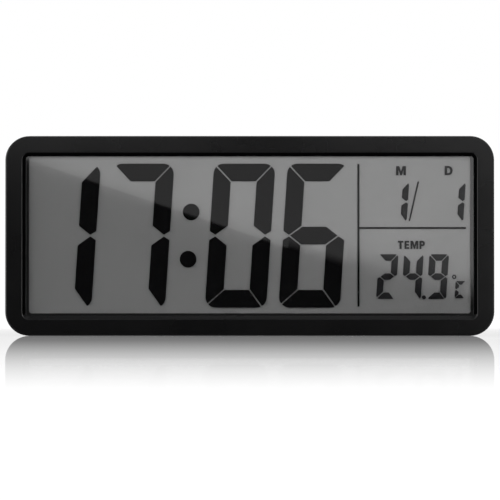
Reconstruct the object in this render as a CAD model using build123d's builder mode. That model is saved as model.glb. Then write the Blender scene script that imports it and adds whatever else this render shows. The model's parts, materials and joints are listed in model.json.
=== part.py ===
from build123d import *
import os
from dataclasses import dataclass
from math import cos, pi, radians, sin, sqrt, tan

# Wall and table clock with a large reflective liquid crystal display.
# Lengths are in millimetres, +Z is up and the display faces -Y. The clock stands on z = 0 and the
# origin lies under the middle of its case. Sketch planes are parallel to the display and centred on
# the case, so a place on the front or the back is written (right, up) from the middle of the case.


@dataclass(frozen=True)
class Digit:
    """Seven-segment character: its size as shares of the view, its bar as a share of its width, its outer
    corner as a share of its bar, and the slit between its bars."""

    height_share: float
    width_share: float
    bar_share: float
    corner_share: float
    slit: float

    @property
    def height(self):
        return VIEW_HEIGHT * self.height_share

    @property
    def width(self):
        return VIEW_WIDTH * self.width_share

    @property
    def bar(self):
        return self.width * self.bar_share

    @property
    def corner(self):
        return self.bar * self.corner_share


# Clearances
FIT = 0.15
RUN = 0.3
PIN_FIT = 0.05
FILM_GAP = 0.05
OVERRUN = 1.0

# Case
CASE_WIDTH = 365.0
CASE_HEIGHT = 149.3
CASE_CORNER = 18.0
CASE_WALL = 2.2
BACK_WALL = 2.0
BEZEL_DEPTH = 16.0
FACE_WALL = 3.0
FACE_EDGE = 1.4
REAR_EDGE = 3.0
RAIL = 12.4
WINDOW_CORNER = 5.2
WINDOW_EDGE = 1.1
BEVEL = 2.6
LIP_LAND = 0.6
PARTING_GROOVE = 0.5
TONGUE_WALL = 1.0
TONGUE_REACH = 1.6
RIM_CHAMFER = 0.3

# Case screws and their bosses
BOSS_DIA = 6.4
REAR_BOSS_DIA = 8.4
BOSS_CORNER_OUT = 7.9
BOSS_SIDE_IN = 7.1
BOSS_SEAT = 3.0
BOSS_PILOT = 9.0
HEAD_WELL_DIA = 6.2
CASE_SCREW_DIA = 2.9
CASE_SCREW_LENGTH = 10.0
CASE_SCREW_HEAD_DIA = 5.4
CASE_SCREW_HEAD = 2.2

# Drive cross in every screw head
CROSS_WIDTH = 0.8
CROSS_LENGTH = 3.0
CROSS_DEPTH = 0.9

# Lens and the layers of the display behind it
LENS_THICK = 2.0
LENS_POST_GAP = 1.1
LENS_TOP_IN = 8.6
LENS_CORNER = 9.0
VIEW_SIDE = 2.45
VIEW_BELOW = 1.85
VIEW_CORNER = 2.0
GLASS_BORDER = 2.0
GLASS_LEDGE = 2.5
MASK_THICK = 0.4
POLARISER_THICK = 0.2
GLASS_THICK = 1.1
CELL_GAP = 0.2
SEGMENT_THICK = 0.1
SEAL_WIDTH = 1.2
REFLECTOR_THICK = 0.2

# Tray that holds the display against the lens
HOLDER_PLATE = 1.5
HOLDER_RIM = 1.4
HOLDER_CORNER = 3.0
HOLDER_BAR = 18.0
HOLDER_WINDOW_CORNER = 6.0
HOLDER_WINDOW_COUNT = 3
EAR_HEIGHT = 9.0
POST_IN = 7.2
POST_UP = 35.0
POST_DIA = 6.0
HOLDER_SCREW_DIA = 2.3
HOLDER_SCREW_LENGTH = 4.0
HOLDER_PILOT = 3.5
HOLDER_SCREW_HEAD_DIA = 4.6
HOLDER_SCREW_HEAD = 1.6

# Display characters: sizes and lit bars
TIME_DIGIT = Digit(height_share=0.9176, width_share=0.139, bar_share=0.289, corner_share=0.59, slit=1.0)
DATE_DIGIT = Digit(height_share=0.2471, width_share=0.0373, bar_share=0.385, corner_share=0.49, slit=0.7)
DEGREES_DIGIT = Digit(height_share=0.2852, width_share=0.0442, bar_share=0.335, corner_share=0.5, slit=0.65)
UNIT_DIGIT = Digit(height_share=0.1099, width_share=0.0236, bar_share=0.355, corner_share=0.5, slit=0.45)
HOUR_BARS = ("bc", "abc")
MINUTE_BARS = ("abcdef", "acdefg")
DATE_BARS = "bc"
TEMPERATURE_BARS = ("abdeg", "bcfg", "abcdfg")
UNIT_BARS = "adef"
SLANT = 0.065
TIP_ANGLE = 37.0
SHOULDER_ANGLE = 32.0
TIP_SHARE = 0.33
TOP_LEFT_MITRE = 45.0
TOP_RIGHT_MITRE = 48.0
BOTTOM_LEFT_MITRE = 43.0
BOTTOM_RIGHT_MITRE = 52.0

# Display layout: places, (right, up) from the middle of the view, and pitches are shares of the view
TIME_PLACE_SHARES = (-0.1363, -0.0049)
TIME_PITCH_SHARE = 0.1669
PAIR_PITCH_SHARE = 0.3961
COLON_PITCH_SHARE = 0.3006
COLON_BAR_SHARE = 0.945
MONTH_PLACE_SHARES = (0.3401, 0.2109)
DAY_PLACE_SHARES = (0.4683, 0.2109)
SLASH_PLACE_SHARES = (0.372, 0.2139)
SLASH_HEIGHT_SHARE = 0.2518
SLASH_WIDTH = 1.15
SLASH_SLANT = 0.229
TEMPERATURE_PLACE_SHARES = (0.3689, -0.2663)
TEMPERATURE_PITCH_SHARE = 0.05726
POINT_PLACE_SHARES = (0.3947, -0.3983)
POINT_BAR_SHARE = 0.62
DEGREE_PLACE_SHARES = (0.4632, -0.268)
DEGREE_BAR_SHARE = 0.68
DEGREE_LINE = 0.95
UNIT_PLACE_SHARES = (0.4771, -0.3489)
DIVIDER_PLACE_SHARES = (0.2464, -0.0032)
DIVIDER_HEIGHT_SHARE = 0.908
DIVIDER_WIDTH = 1.5
SHELF_UP_SHARE = 0.0436
SHELF_LENGTH_SHARE = 0.2432
SHELF_WIDTH = 1.35

# Printed circuit board
BOARD_RIGHT_SHARE = -0.26
BOARD_UP = -15.0
BOARD_WIDTH = 92.0
BOARD_HEIGHT = 50.0
BOARD_THICK = 1.6
BOARD_CORNER = 2.0
BOARD_STANDOFF = 7.4
BOARD_SCREW_IN = 4.0
BOARD_BOSS_DIA = 5.2
BOARD_SCREW_DIA = 2.0
BOARD_SCREW_LENGTH = 6.0
BOARD_SCREW_HEAD_DIA = 3.8
BOARD_SCREW_HEAD = 1.3

# Parts on the board
CHIP_DIA = 15.0
CHIP_HEIGHT = 1.8
CHIP_RIGHT = 8.0
CHIP_UP = -6.0
CRYSTAL_DIA = 2.1
CRYSTAL_LENGTH = 6.2
CRYSTAL_RIGHT = -10.0
CRYSTAL_UP = -8.0
CRYSTAL_LEG_DIA = 0.4
CRYSTAL_LEG = 2.0
CRYSTAL_LEG_PITCH = 0.8
CAPACITOR_DIA = 5.0
CAPACITOR_HEIGHT = 6.5
CAPACITOR_EDGE = 0.4
CAPACITOR_UP = 10.0
CAPACITOR_PITCH = 9.0
CAPACITOR_IN = 16.0
CAPACITOR_COUNT = 2
BUZZER_DIA = 12.0
BUZZER_HEIGHT = 6.4
BUZZER_HOLE_DIA = 2.0
BUZZER_EDGE = 0.5
BUZZER_IN = 16.0
BUZZER_UP = 8.0
SENSOR_DIA = 2.6
SENSOR_REACH = 6.0
SENSOR_DOWN = 11.0
SENSOR_LEG_DIA = 0.5
SENSOR_LEG_PITCH = 1.4
SENSOR_LEG_LAP = 3.0

# Ribbon from the display to the board
RIBBON_WIDTH = 56.0
RIBBON_THICK = 0.2
RIBBON_LAP = 1.8
RIBBON_TOP_GAP = 3.0
RIBBON_BEND = 3.0
RIBBON_BOARD_LAP = 5.0
RIBBON_NOTCH = 2.0

# Buttons
BUTTON_NAMES = ("mode", "set", "up", "down", "alarm")
BUTTON_PITCH = 15.5
BUTTON_LENGTH = 10.0
BUTTON_HEIGHT = 5.6
BUTTON_PROUD = 1.0
BUTTON_EDGE = 0.5
BUTTON_TRAVEL = 0.8
BUTTON_FLANGE = 1.0
BUTTON_FLANGE_LAP = 1.2
PANEL_WIDTH = 82.0
PANEL_HEIGHT = 20.0
PANEL_CORNER = 3.0
PANEL_DEPTH = 1.2
PANEL_UP = 2.0
SWITCH_SIDE = 6.0
SWITCH_HEIGHT = 3.5
SWITCH_STEM_DIA = 3.4
SWITCH_STEM_SINK = 1.5

# Two round cells, their bay, contacts and leads
CELL_DIA = 14.5
CELL_LENGTH = 50.5
CELL_EDGE = 0.7
CELL_NUB_DIA = 5.5
CELL_NUB = 1.2
CELL_PITCH = 15.3
BAY_RIGHT_SHARE = 0.255
BAY_UP = -15.0
BAY_WALL = 1.6
BAY_SLACK = 0.5
BAY_GAP = 0.6
SPRING_LENGTH = 7.0
SPRING_WIRE_DIA = 0.8
SPRING_BASE_DIA = 9.4
SPRING_TIP_DIA = 6.0
SPRING_TURNS = 4
QUARTERS = 4
SPRING_SAMPLES = 24
SPRING_COUNT = SPRING_TURNS * SPRING_SAMPLES + 1
PLATE_THICK = 0.5
PLATE_WIDTH = 12.0
TAIL_WIDTH = 3.0
TAIL_REACH = 2.4
LEAD_DIA = 1.3
LEAD_LAP = 4.0
LEAD_STEP = 8.0
LEAD_DROP = 9.0
LEAD_SHARES = (
    (0, 0, 0),
    (0.12, 0.02, 0.04),
    (0.33, 0.3, 0.7),
    (0.56, 0.62, 0.95),
    (0.76, 0.86, 0.55),
    (0.9, 1, 0.04),
    (1, 1, 0),
)
BEND_SHARE = 0.45

# Battery door
DOOR_THICK = 1.8
DOOR_LAP = 3.4
DOOR_CORNER = 2.0
DOOR_EDGE = 0.4
LEDGE_THICK = 1.8
LUG_WIDTH = 7.0
LUG_PITCH = 38.0
LUG_THICK = 1.2
LUG_DROP = 2.4
LUG_HOOK = 1.4
LATCH_WIDTH = 16.0
LATCH_LENGTH = 10.0
LATCH_SLIT = 0.9
LATCH_TOE = 0.15
GRIP_RIB = 0.8
GRIP_PITCH = 1.8
GRIP_SINK = 0.5
GRIP_COUNT = 4
DOOR_RIB = 1.2
DOOR_RIB_HEIGHT = 1.0
DOOR_RIB_PITCH = 30.0
DOOR_RIB_SHORT = 1.0

# Fold-out stand
LEG_WIDTH = 62.0
LEG_FOOT_UP = 8.65
LEG_THICK = 4.0
LEG_SKIN = 1.8
LEG_FRAME = 4.0
LEG_CORNER = 8.0
LEG_EDGE = 0.6
LEG_RIB = 1.6
LEG_RIB_COUNT = 3
LEG_SIDE_GAP = 0.5
BARREL_DIA = 5.0
PIVOT_DOWN = 52.65
PIVOT_IN = 2.6
WELL_DEPTH = 5.8
WELL_WALL = 1.6
WELL_CORNER = 8.5
PIN_DIA = 2.5
PAD_THICK = 1.0
PAD_LENGTH = 10.8
PAD_IN = 0.6
PAD_GAP = 0.6
NOTCH_HEIGHT = 11.0
NOTCH_CORNER = 5.0

# Keyholes for two wall screws
KEYHOLE_SPACING = 200.0
KEYHOLE_DOWN = 34.65
KEYHOLE_DIA = 8.5
KEYSLOT_WIDTH = 4.4
KEYSLOT_RISE = 9.0
KEY_POCKET_DEPTH = 5.0
KEY_POCKET_WALL = 1.4
KEY_POCKET_MARGIN = 1.2

# Vents, sound slots and the bare plate recess
SLOT_WIDTH = 1.6
SLOT_LENGTH = 12.0
SLOT_PITCH = 4.0
SLOT_COUNT = 5
PLATE_RECESS_WIDTH = 84.0
PLATE_RECESS_HEIGHT = 22.0
PLATE_RECESS_DEPTH = 0.4
PLATE_RECESS_CORNER = 2.0
PLATE_RECESS_DOWN = 25.65

# Planes and places worked out from the sizes above
DISPLAY_LAYERS = MASK_THICK + POLARISER_THICK + 2 * GLASS_THICK + CELL_GAP + REFLECTOR_THICK + 4 * FILM_GAP
DISPLAY_DEPTH = FACE_WALL + LENS_THICK + DISPLAY_LAYERS + HOLDER_PLATE
BAY_DEPTH = BAY_WALL + FIT + CELL_DIA + RUN + DOOR_RIB_HEIGHT + FIT + DOOR_THICK
CASE_DEPTH = DISPLAY_DEPTH + BAY_GAP + BAY_DEPTH
FRONT_Y = -CASE_DEPTH / 2
BACK_Y = CASE_DEPTH / 2
PARTING_Y = FRONT_Y + BEZEL_DEPTH
INNER_BACK_Y = BACK_Y - BACK_WALL
REAR_DEPTH = CASE_DEPTH - BEZEL_DEPTH
CAVITY_WIDTH = CASE_WIDTH - 2 * CASE_WALL
CAVITY_HEIGHT = CASE_HEIGHT - 2 * CASE_WALL
CAVITY_CORNER = CASE_CORNER - CASE_WALL
WINDOW_WIDTH = CASE_WIDTH - 2 * RAIL
WINDOW_HEIGHT = CASE_HEIGHT - 2 * RAIL
LIP_WIDTH = WINDOW_WIDTH - 2 * BEVEL
LIP_HEIGHT = WINDOW_HEIGHT - 2 * BEVEL
LIP_CORNER = WINDOW_CORNER - BEVEL
VIEW_WIDTH = LIP_WIDTH - 2 * VIEW_SIDE
VIEW_HEIGHT = LIP_HEIGHT - VIEW_BELOW
VIEW_RISE = VIEW_BELOW / 2

LENS_FRONT = FRONT_Y + FACE_WALL
LENS_BACK = LENS_FRONT + LENS_THICK
MASK_BACK = LENS_BACK + FILM_GAP + MASK_THICK
POLARISER_BACK = MASK_BACK + FILM_GAP + POLARISER_THICK
FRONT_GLASS_BACK = POLARISER_BACK + FILM_GAP + GLASS_THICK
REAR_GLASS_FRONT = FRONT_GLASS_BACK + CELL_GAP
REAR_GLASS_BACK = REAR_GLASS_FRONT + GLASS_THICK
REFLECTOR_BACK = REAR_GLASS_BACK + FILM_GAP + REFLECTOR_THICK
HOLDER_BACK = REFLECTOR_BACK + HOLDER_PLATE
SEGMENT_BACK = FRONT_GLASS_BACK + (CELL_GAP + SEGMENT_THICK) / 2

GLASS_WIDTH = VIEW_WIDTH + 2 * GLASS_BORDER
REAR_GLASS_HEIGHT = VIEW_HEIGHT + 2 * GLASS_BORDER
FRONT_GLASS_HEIGHT = REAR_GLASS_HEIGHT + GLASS_LEDGE
FRONT_GLASS_UP = VIEW_RISE + GLASS_LEDGE / 2
TRAY_WIDTH = GLASS_WIDTH + 2 * FIT
TRAY_HEIGHT = FRONT_GLASS_HEIGHT + 2 * FIT
HOLDER_WIDTH = TRAY_WIDTH + 2 * HOLDER_RIM
HOLDER_HEIGHT = TRAY_HEIGHT + 2 * HOLDER_RIM
HOLDER_WINDOW_PITCH = (TRAY_WIDTH - HOLDER_BAR) / HOLDER_WINDOW_COUNT
HOLDER_WINDOW_WIDTH = HOLDER_WINDOW_PITCH - HOLDER_BAR
HOLDER_WINDOW_HEIGHT = TRAY_HEIGHT - 2 * HOLDER_BAR
POST_RIGHT = CASE_WIDTH / 2 - POST_IN
LENS_WIDTH = 2 * (POST_RIGHT - POST_DIA / 2 - LENS_POST_GAP)
LENS_HEIGHT = CASE_HEIGHT - 2 * LENS_TOP_IN
POST_PLACES = [(side * POST_RIGHT, rise * POST_UP) for side in (-1, 1) for rise in (-1, 1)]

BOSS_CORNER_RIGHT = CASE_WIDTH / 2 - CASE_CORNER + BOSS_CORNER_OUT
BOSS_CORNER_UP = CASE_HEIGHT / 2 - CASE_CORNER + BOSS_CORNER_OUT
BOSS_SIDE_RIGHT = CASE_WIDTH / 2 - BOSS_SIDE_IN
CASE_SCREW_PLACES = [
    (side * BOSS_CORNER_RIGHT, rise * BOSS_CORNER_UP)
    for side in (-1, 1)
    for rise in (-1, 1)
]
CASE_SCREW_PLACES += [(side * BOSS_SIDE_RIGHT, 0) for side in (-1, 1)]
CASE_SCREW_SEAT = PARTING_Y + BOSS_SEAT

BOARD_RIGHT = CASE_WIDTH * BOARD_RIGHT_SHARE
BOARD_BACK = INNER_BACK_Y - BOARD_STANDOFF
BOARD_FRONT = BOARD_BACK - BOARD_THICK
BOARD_SCREW_RIGHT = BOARD_WIDTH / 2 - BOARD_SCREW_IN
BOARD_SCREW_RISE = BOARD_HEIGHT / 2 - BOARD_SCREW_IN
BOARD_SCREW_PLACES = [
    (BOARD_RIGHT + side * BOARD_SCREW_RIGHT, BOARD_UP + rise * BOARD_SCREW_RISE)
    for side in (-1, 1)
    for rise in (-1, 1)
]

PANEL_Y = BACK_Y - PANEL_DEPTH
PANEL_INNER_Y = PANEL_Y - BACK_WALL
BUTTON_UP = BOARD_UP + PANEL_UP
FLANGE_BACK = PANEL_INNER_Y - RUN
FLANGE_FRONT = FLANGE_BACK - BUTTON_FLANGE
SWITCH_BACK = BOARD_BACK + SWITCH_HEIGHT
BUTTON_FIRST = BOARD_RIGHT - BUTTON_PITCH * (len(BUTTON_NAMES) - 1) / 2
BUTTON_PLACES = [(BUTTON_FIRST + BUTTON_PITCH * index, BUTTON_UP) for index in range(len(BUTTON_NAMES))]

BAY_RIGHT = CASE_WIDTH * BAY_RIGHT_SHARE
DOOR_INNER_Y = BACK_Y - DOOR_THICK
DOOR_SEAT_Y = DOOR_INNER_Y - FIT
CELL_Y = DOOR_SEAT_Y - DOOR_RIB_HEIGHT - RUN - CELL_DIA / 2
BAY_FLOOR_Y = CELL_Y - CELL_DIA / 2 - FIT
BAY_LENGTH = CELL_LENGTH + SPRING_LENGTH + 2 * PLATE_THICK
BAY_HEIGHT = CELL_PITCH + CELL_DIA + 2 * BAY_SLACK
DOOR_WIDTH = BAY_LENGTH + 2 * DOOR_LAP
DOOR_HEIGHT = BAY_HEIGHT + 2 * DOOR_LAP
DOOR_AXIS_Y = BACK_Y - DOOR_THICK / 2
DOOR_AXIS_UP = BAY_UP + DOOR_HEIGHT / 2 - DOOR_THICK / 2
BAY_LEFT_END = BAY_RIGHT - BAY_LENGTH / 2
BAY_RIGHT_END = BAY_RIGHT + BAY_LENGTH / 2
CELL_ROWS = [(turn, BAY_UP + turn * CELL_PITCH / 2) for turn in (1, -1)]
LEAD_Y = BOARD_BACK + LEAD_DIA / 2 + FILM_GAP
LUG_SWING = sqrt((DOOR_THICK / 2 + LUG_DROP) ** 2 + (DOOR_THICK / 2 + LUG_HOOK) ** 2)
LUG_SLOT_HEIGHT = DOOR_THICK / 2 + LUG_HOOK + LUG_SWING + 2 * RUN
LUG_PLACES = [BAY_RIGHT + side * LUG_PITCH / 2 for side in (-1, 1)]

PIVOT_Y = BACK_Y - PIVOT_IN
PIVOT_UP = CASE_HEIGHT / 2 - PIVOT_DOWN
LEG_END_UP = LEG_FOOT_UP - CASE_HEIGHT / 2
LEG_LENGTH = PIVOT_UP - LEG_END_UP
NOTCH_WIDTH = LEG_WIDTH - 2 * (LEG_CORNER + PAD_LENGTH + 2 * PAD_IN)
WELL_TOP = PIVOT_UP + BARREL_DIA / 2 + LEG_SIDE_GAP
WELL_BOTTOM = LEG_END_UP - PAD_THICK - PAD_GAP
WELL_WIDTH = LEG_WIDTH + 2 * LEG_SIDE_GAP
WELL_HEIGHT = WELL_TOP - WELL_BOTTOM
WELL_UP = (WELL_TOP + WELL_BOTTOM) / 2
WELL_FLOOR_Y = BACK_Y - WELL_DEPTH
PIN_LENGTH = WELL_WIDTH + 2 * WELL_WALL

BOARD_LEFT_END = BOARD_RIGHT - BOARD_WIDTH / 2
BOARD_RIGHT_END = BOARD_RIGHT + BOARD_WIDTH / 2
BOARD_BOTTOM = BOARD_UP - BOARD_HEIGHT / 2
BOARD_TOP = BOARD_UP + BOARD_HEIGHT / 2
BUZZER_PLACE = (BOARD_RIGHT_END - BUZZER_IN, BOARD_BOTTOM + BUZZER_UP)
CAPACITOR_PLACE = (BOARD_RIGHT_END - CAPACITOR_IN, BOARD_BOTTOM + CAPACITOR_UP)
SENSOR_PLACE = (BOARD_LEFT_END - SENSOR_REACH, BOARD_TOP - SENSOR_DOWN)
KEYHOLE_UP = CASE_HEIGHT / 2 - KEYHOLE_DOWN
KEYHOLE_PLACES = [(side * KEYHOLE_SPACING / 2, KEYHOLE_UP) for side in (-1, 1)]
PLATE_RECESS_UP = CASE_HEIGHT / 2 - PLATE_RECESS_DOWN
KEY_POCKET_WIDTH = KEYHOLE_DIA + 2 * KEY_POCKET_MARGIN
KEY_POCKET_HEIGHT = KEY_POCKET_WIDTH + KEYSLOT_RISE
KEY_POCKET_UP = KEYHOLE_UP + KEYSLOT_RISE / 2
KEY_POCKET_Y = INNER_BACK_Y - KEY_POCKET_DEPTH


def facing(y):
    """Plane at depth y, parallel to the display, looking to the front, centred on the case."""
    return Plane(origin=(0, y, CASE_HEIGHT / 2), x_dir=(1, 0, 0), z_dir=(0, -1, 0))


def crosswise(right, up, y):
    """Plane across the clock at a place, looking to the right, with its own x to the back and y up."""
    return Plane(origin=point(right, up, y), x_dir=(0, 1, 0), z_dir=(1, 0, 0))


def point(right, up, y):
    """Point in space at a place on the face and a depth."""
    return Vector(right, y, CASE_HEIGHT / 2 + up)


def in_view(shares):
    """Place on the face, (right, up) from the middle of the case, from shares of the view."""
    return VIEW_WIDTH * shares[0], VIEW_RISE + VIEW_HEIGHT * shares[1]


def save(piece, name):
    """Labels a finished piece and writes it under that name."""
    piece.label = name
    export_step(piece, f"parts/{name}.step")


def bar_outlines(digit):
    """Corner points of the seven bars a to g of an upright digit, from the middle of the digit."""
    half_width = digit.width / 2
    half_height = digit.height / 2
    inner = half_width - digit.bar
    level = half_height - digit.bar
    tip = half_width - digit.bar * TIP_SHARE
    tip_run = digit.slit / 2 / sin(radians(TIP_ANGLE))
    tip_rise = digit.slit / 2 / cos(radians(TIP_ANGLE))
    tip_slope = tan(radians(TIP_ANGLE))
    shoulder = tip_rise + (half_width - tip) * tan(radians(SHOULDER_ANGLE))
    armpit = tip_rise + (tip - inner) * tip_slope

    def upright(side, rise, mitre):
        """Bar along one side of the upper or lower half."""
        slope = tan(radians(mitre))
        drop = digit.slit / 2 / cos(radians(mitre))
        points = [
            (half_width, level + digit.bar * slope - drop),
            (inner, level - drop),
            (inner, armpit),
            (tip, tip_rise),
            (half_width, shoulder),
        ]
        return [(side * right, rise * up) for right, up in points]

    def level_end(side, rise, mitre):
        """Outer and inner corner of the end of the top or bottom bar."""
        run = digit.slit / 2 / sin(radians(mitre))
        outer = inner + digit.bar / tan(radians(mitre)) - run
        return [(side * outer, rise * half_height), (side * (inner - run), rise * level)]

    waist = tip - tip_run
    neck = waist - digit.bar / 2 / tip_slope
    half_bar = digit.bar / 2
    return {
        "a": level_end(-1, 1, TOP_LEFT_MITRE) + level_end(1, 1, TOP_RIGHT_MITRE)[::-1],
        "b": upright(1, 1, TOP_RIGHT_MITRE),
        "c": upright(1, -1, BOTTOM_RIGHT_MITRE),
        "d": level_end(-1, -1, BOTTOM_LEFT_MITRE) + level_end(1, -1, BOTTOM_RIGHT_MITRE)[::-1],
        "e": upright(-1, -1, BOTTOM_LEFT_MITRE),
        "f": upright(-1, 1, TOP_LEFT_MITRE),
        "g": [
            (-waist, 0),
            (-neck, half_bar),
            (neck, half_bar),
            (waist, 0),
            (neck, -half_bar),
            (-neck, -half_bar),
        ],
    }


def character(digit, lit, place):
    """Sketch of the lit bars of one leaning digit with its middle at a place."""
    right, up = place

    def lean(points):
        """Points of the upright digit moved to its place and leaned to the right."""
        return [(right + across + SLANT * rise, up + rise) for across, rise in points]

    corners = [
        (-digit.width / 2, -digit.height / 2),
        (digit.width / 2, -digit.height / 2),
        (digit.width / 2, digit.height / 2),
        (-digit.width / 2, digit.height / 2),
    ]
    with BuildSketch(mode=Mode.PRIVATE) as outline:
        Polygon(*lean(corners), align=None)
        fillet(outline.vertices(), radius=digit.corner)
    outlines = bar_outlines(digit)
    with BuildSketch(mode=Mode.PRIVATE) as figure:
        for letter in lit:
            with BuildSketch(mode=Mode.PRIVATE) as bar:
                Polygon(*lean(outlines[letter]), align=None)
                add(outline.sketch, mode=Mode.INTERSECT)
            add(bar.sketch)
    return figure.sketch


def screw_set(places, seat, shank_dia, length, head_dia, head, forward=True):
    """Cross-head screws driven to the front (or the back) with the undersides of their heads at seat."""
    along = 1 if forward else -1
    with BuildPart() as screws:
        with BuildSketch(facing(seat)):
            with Locations(*places):
                Circle(shank_dia / 2)
        extrude(amount=along * length)
        with BuildSketch(facing(seat)):
            with Locations(*places):
                Circle(head_dia / 2)
        extrude(amount=-along * head)
        with BuildSketch(facing(seat + along * head)):
            with Locations(*places):
                Rectangle(CROSS_LENGTH * head_dia / CASE_SCREW_HEAD_DIA, CROSS_WIDTH)
                Rectangle(CROSS_WIDTH, CROSS_LENGTH * head_dia / CASE_SCREW_HEAD_DIA)
        extrude(amount=along * CROSS_DEPTH, mode=Mode.SUBTRACT)
    return screws.part


def biarc(start, start_run, end, end_run):
    """Adds two tangent arcs from start to end that leave and arrive along the two given directions."""
    span = end - start
    both = start_run + end_run
    square = 2 * (1 - start_run.dot(end_run))
    linear = 2 * span.dot(both)
    reach = (sqrt(linear**2 + 4 * square * span.dot(span)) - linear) / (2 * square)
    first = start + start_run * reach
    second = end - end_run * reach
    middle = (first + second) / 2
    TangentArc(start, middle, tangent=start_run)
    TangentArc(middle, end, tangent=second - first)


def bend_radii(route):
    """Radius for each inner corner of a route, as large as its two runs allow."""
    radii = []
    for before, corner, after in zip(route, route[1:], route[2:]):
        turn = radians((corner - before).get_angle(after - corner))
        shorter = min((corner - before).length, (after - corner).length)
        radii.append(BEND_SHARE * shorter / tan(turn / 2))
    return radii


def spring_point(turn, base, along):
    """Point on the middle of the spring's wire after so many turns, from the middle of its base."""
    share = turn / SPRING_TURNS
    radius = (SPRING_BASE_DIA + (SPRING_TIP_DIA - SPRING_BASE_DIA) * share) / 2
    rise = SPRING_WIRE_DIA / 2 + (SPRING_LENGTH - SPRING_WIRE_DIA) * share
    turned = 2 * pi * turn
    return base + Vector(along * rise, radius * cos(turned), radius * sin(turned))


def spring_run(turn, along):
    """Unit direction of the spring's wire after so many turns."""
    share = turn / SPRING_TURNS
    radius = (SPRING_BASE_DIA + (SPRING_TIP_DIA - SPRING_BASE_DIA) * share) / 2
    closing = (SPRING_TIP_DIA - SPRING_BASE_DIA) / 2 / SPRING_TURNS
    rise = (SPRING_LENGTH - SPRING_WIRE_DIA) / SPRING_TURNS
    turned = 2 * pi * turn
    around = 2 * pi * radius
    return Vector(
        along * rise,
        closing * cos(turned) - around * sin(turned),
        closing * sin(turned) + around * cos(turned),
    ).normalized()


os.makedirs("parts", exist_ok=True)

# Front bezel: flat rails round a bevelled window, screw bosses and posts behind
with BuildPart() as front_bezel:
    with BuildSketch(facing(PARTING_Y)):
        RectangleRounded(CASE_WIDTH, CASE_HEIGHT, CASE_CORNER)
    extrude(amount=BEZEL_DEPTH)
    fillet(front_bezel.faces().sort_by(Axis.Y)[0].edges(), radius=FACE_EDGE)
    chamfer(front_bezel.faces().sort_by(Axis.Y)[-1].edges(), length=PARTING_GROOVE)
    with BuildSketch(facing(PARTING_Y)):
        RectangleRounded(CAVITY_WIDTH, CAVITY_HEIGHT, CAVITY_CORNER)
    extrude(amount=BEZEL_DEPTH - FACE_WALL, mode=Mode.SUBTRACT)
    with BuildSketch(facing(LENS_FRONT)):
        RectangleRounded(LIP_WIDTH, LIP_HEIGHT, LIP_CORNER)
    extrude(amount=FACE_WALL, mode=Mode.SUBTRACT)
    with BuildSketch(facing(LENS_FRONT - LIP_LAND)):
        RectangleRounded(LIP_WIDTH, LIP_HEIGHT, LIP_CORNER)
    with BuildSketch(facing(FRONT_Y)):
        RectangleRounded(WINDOW_WIDTH, WINDOW_HEIGHT, WINDOW_CORNER)
    loft(ruled=True, mode=Mode.SUBTRACT)
    window_edges = front_bezel.faces().sort_by(Axis.Y)[0].inner_wires()[0].edges()
    fillet(window_edges, radius=WINDOW_EDGE)
    with BuildSketch(facing(PARTING_Y)):
        with Locations(*CASE_SCREW_PLACES):
            Circle(BOSS_DIA / 2)
    extrude(amount=BEZEL_DEPTH - FACE_WALL)
    with BuildSketch(facing(PARTING_Y)):
        with Locations(*CASE_SCREW_PLACES):
            Circle(CASE_SCREW_DIA / 2)
    extrude(amount=BOSS_PILOT, mode=Mode.SUBTRACT)
    with BuildSketch(facing(REFLECTOR_BACK)):
        with Locations(*POST_PLACES):
            Circle(POST_DIA / 2)
    extrude(amount=REFLECTOR_BACK - LENS_FRONT)
    with BuildSketch(facing(REFLECTOR_BACK)):
        with Locations(*POST_PLACES):
            Circle(HOLDER_SCREW_DIA / 2)
    extrude(amount=HOLDER_PILOT, mode=Mode.SUBTRACT)
save(front_bezel.part, "front_bezel")

# Clear lens behind the window
with BuildPart() as display_lens:
    with BuildSketch(facing(LENS_BACK)):
        RectangleRounded(LENS_WIDTH, LENS_HEIGHT, LENS_CORNER)
    extrude(amount=LENS_THICK)
save(display_lens.part, "display_lens")

# Dark frame between lens and display
with BuildPart() as display_mask:
    with BuildSketch(facing(MASK_BACK)):
        with Locations((0, FRONT_GLASS_UP)):
            Rectangle(GLASS_WIDTH, FRONT_GLASS_HEIGHT)
        with Locations((0, VIEW_RISE)):
            RectangleRounded(VIEW_WIDTH, VIEW_HEIGHT, VIEW_CORNER, mode=Mode.SUBTRACT)
    extrude(amount=MASK_THICK)
save(display_mask.part, "display_mask")

# Display sandwich: polariser, front glass, sealed cell, rear glass, reflector
with BuildPart() as front_polariser:
    with BuildSketch(facing(POLARISER_BACK)):
        with Locations((0, VIEW_RISE)):
            Rectangle(GLASS_WIDTH, REAR_GLASS_HEIGHT)
    extrude(amount=POLARISER_THICK)
save(front_polariser.part, "lcd_front_polariser")

with BuildPart() as front_glass:
    with BuildSketch(facing(FRONT_GLASS_BACK)):
        with Locations((0, FRONT_GLASS_UP)):
            Rectangle(GLASS_WIDTH, FRONT_GLASS_HEIGHT)
    extrude(amount=GLASS_THICK)
save(front_glass.part, "lcd_front_glass")

with BuildPart() as cell_seal:
    with BuildSketch(facing(REAR_GLASS_FRONT)):
        with Locations((0, VIEW_RISE)):
            Rectangle(GLASS_WIDTH, REAR_GLASS_HEIGHT)
            Rectangle(GLASS_WIDTH - 2 * SEAL_WIDTH, REAR_GLASS_HEIGHT - 2 * SEAL_WIDTH, mode=Mode.SUBTRACT)
    extrude(amount=CELL_GAP)
save(cell_seal.part, "lcd_cell_seal")

with BuildPart() as rear_glass:
    with BuildSketch(facing(REAR_GLASS_BACK)):
        with Locations((0, VIEW_RISE)):
            Rectangle(GLASS_WIDTH, REAR_GLASS_HEIGHT)
    extrude(amount=GLASS_THICK)
save(rear_glass.part, "lcd_rear_glass")

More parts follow.
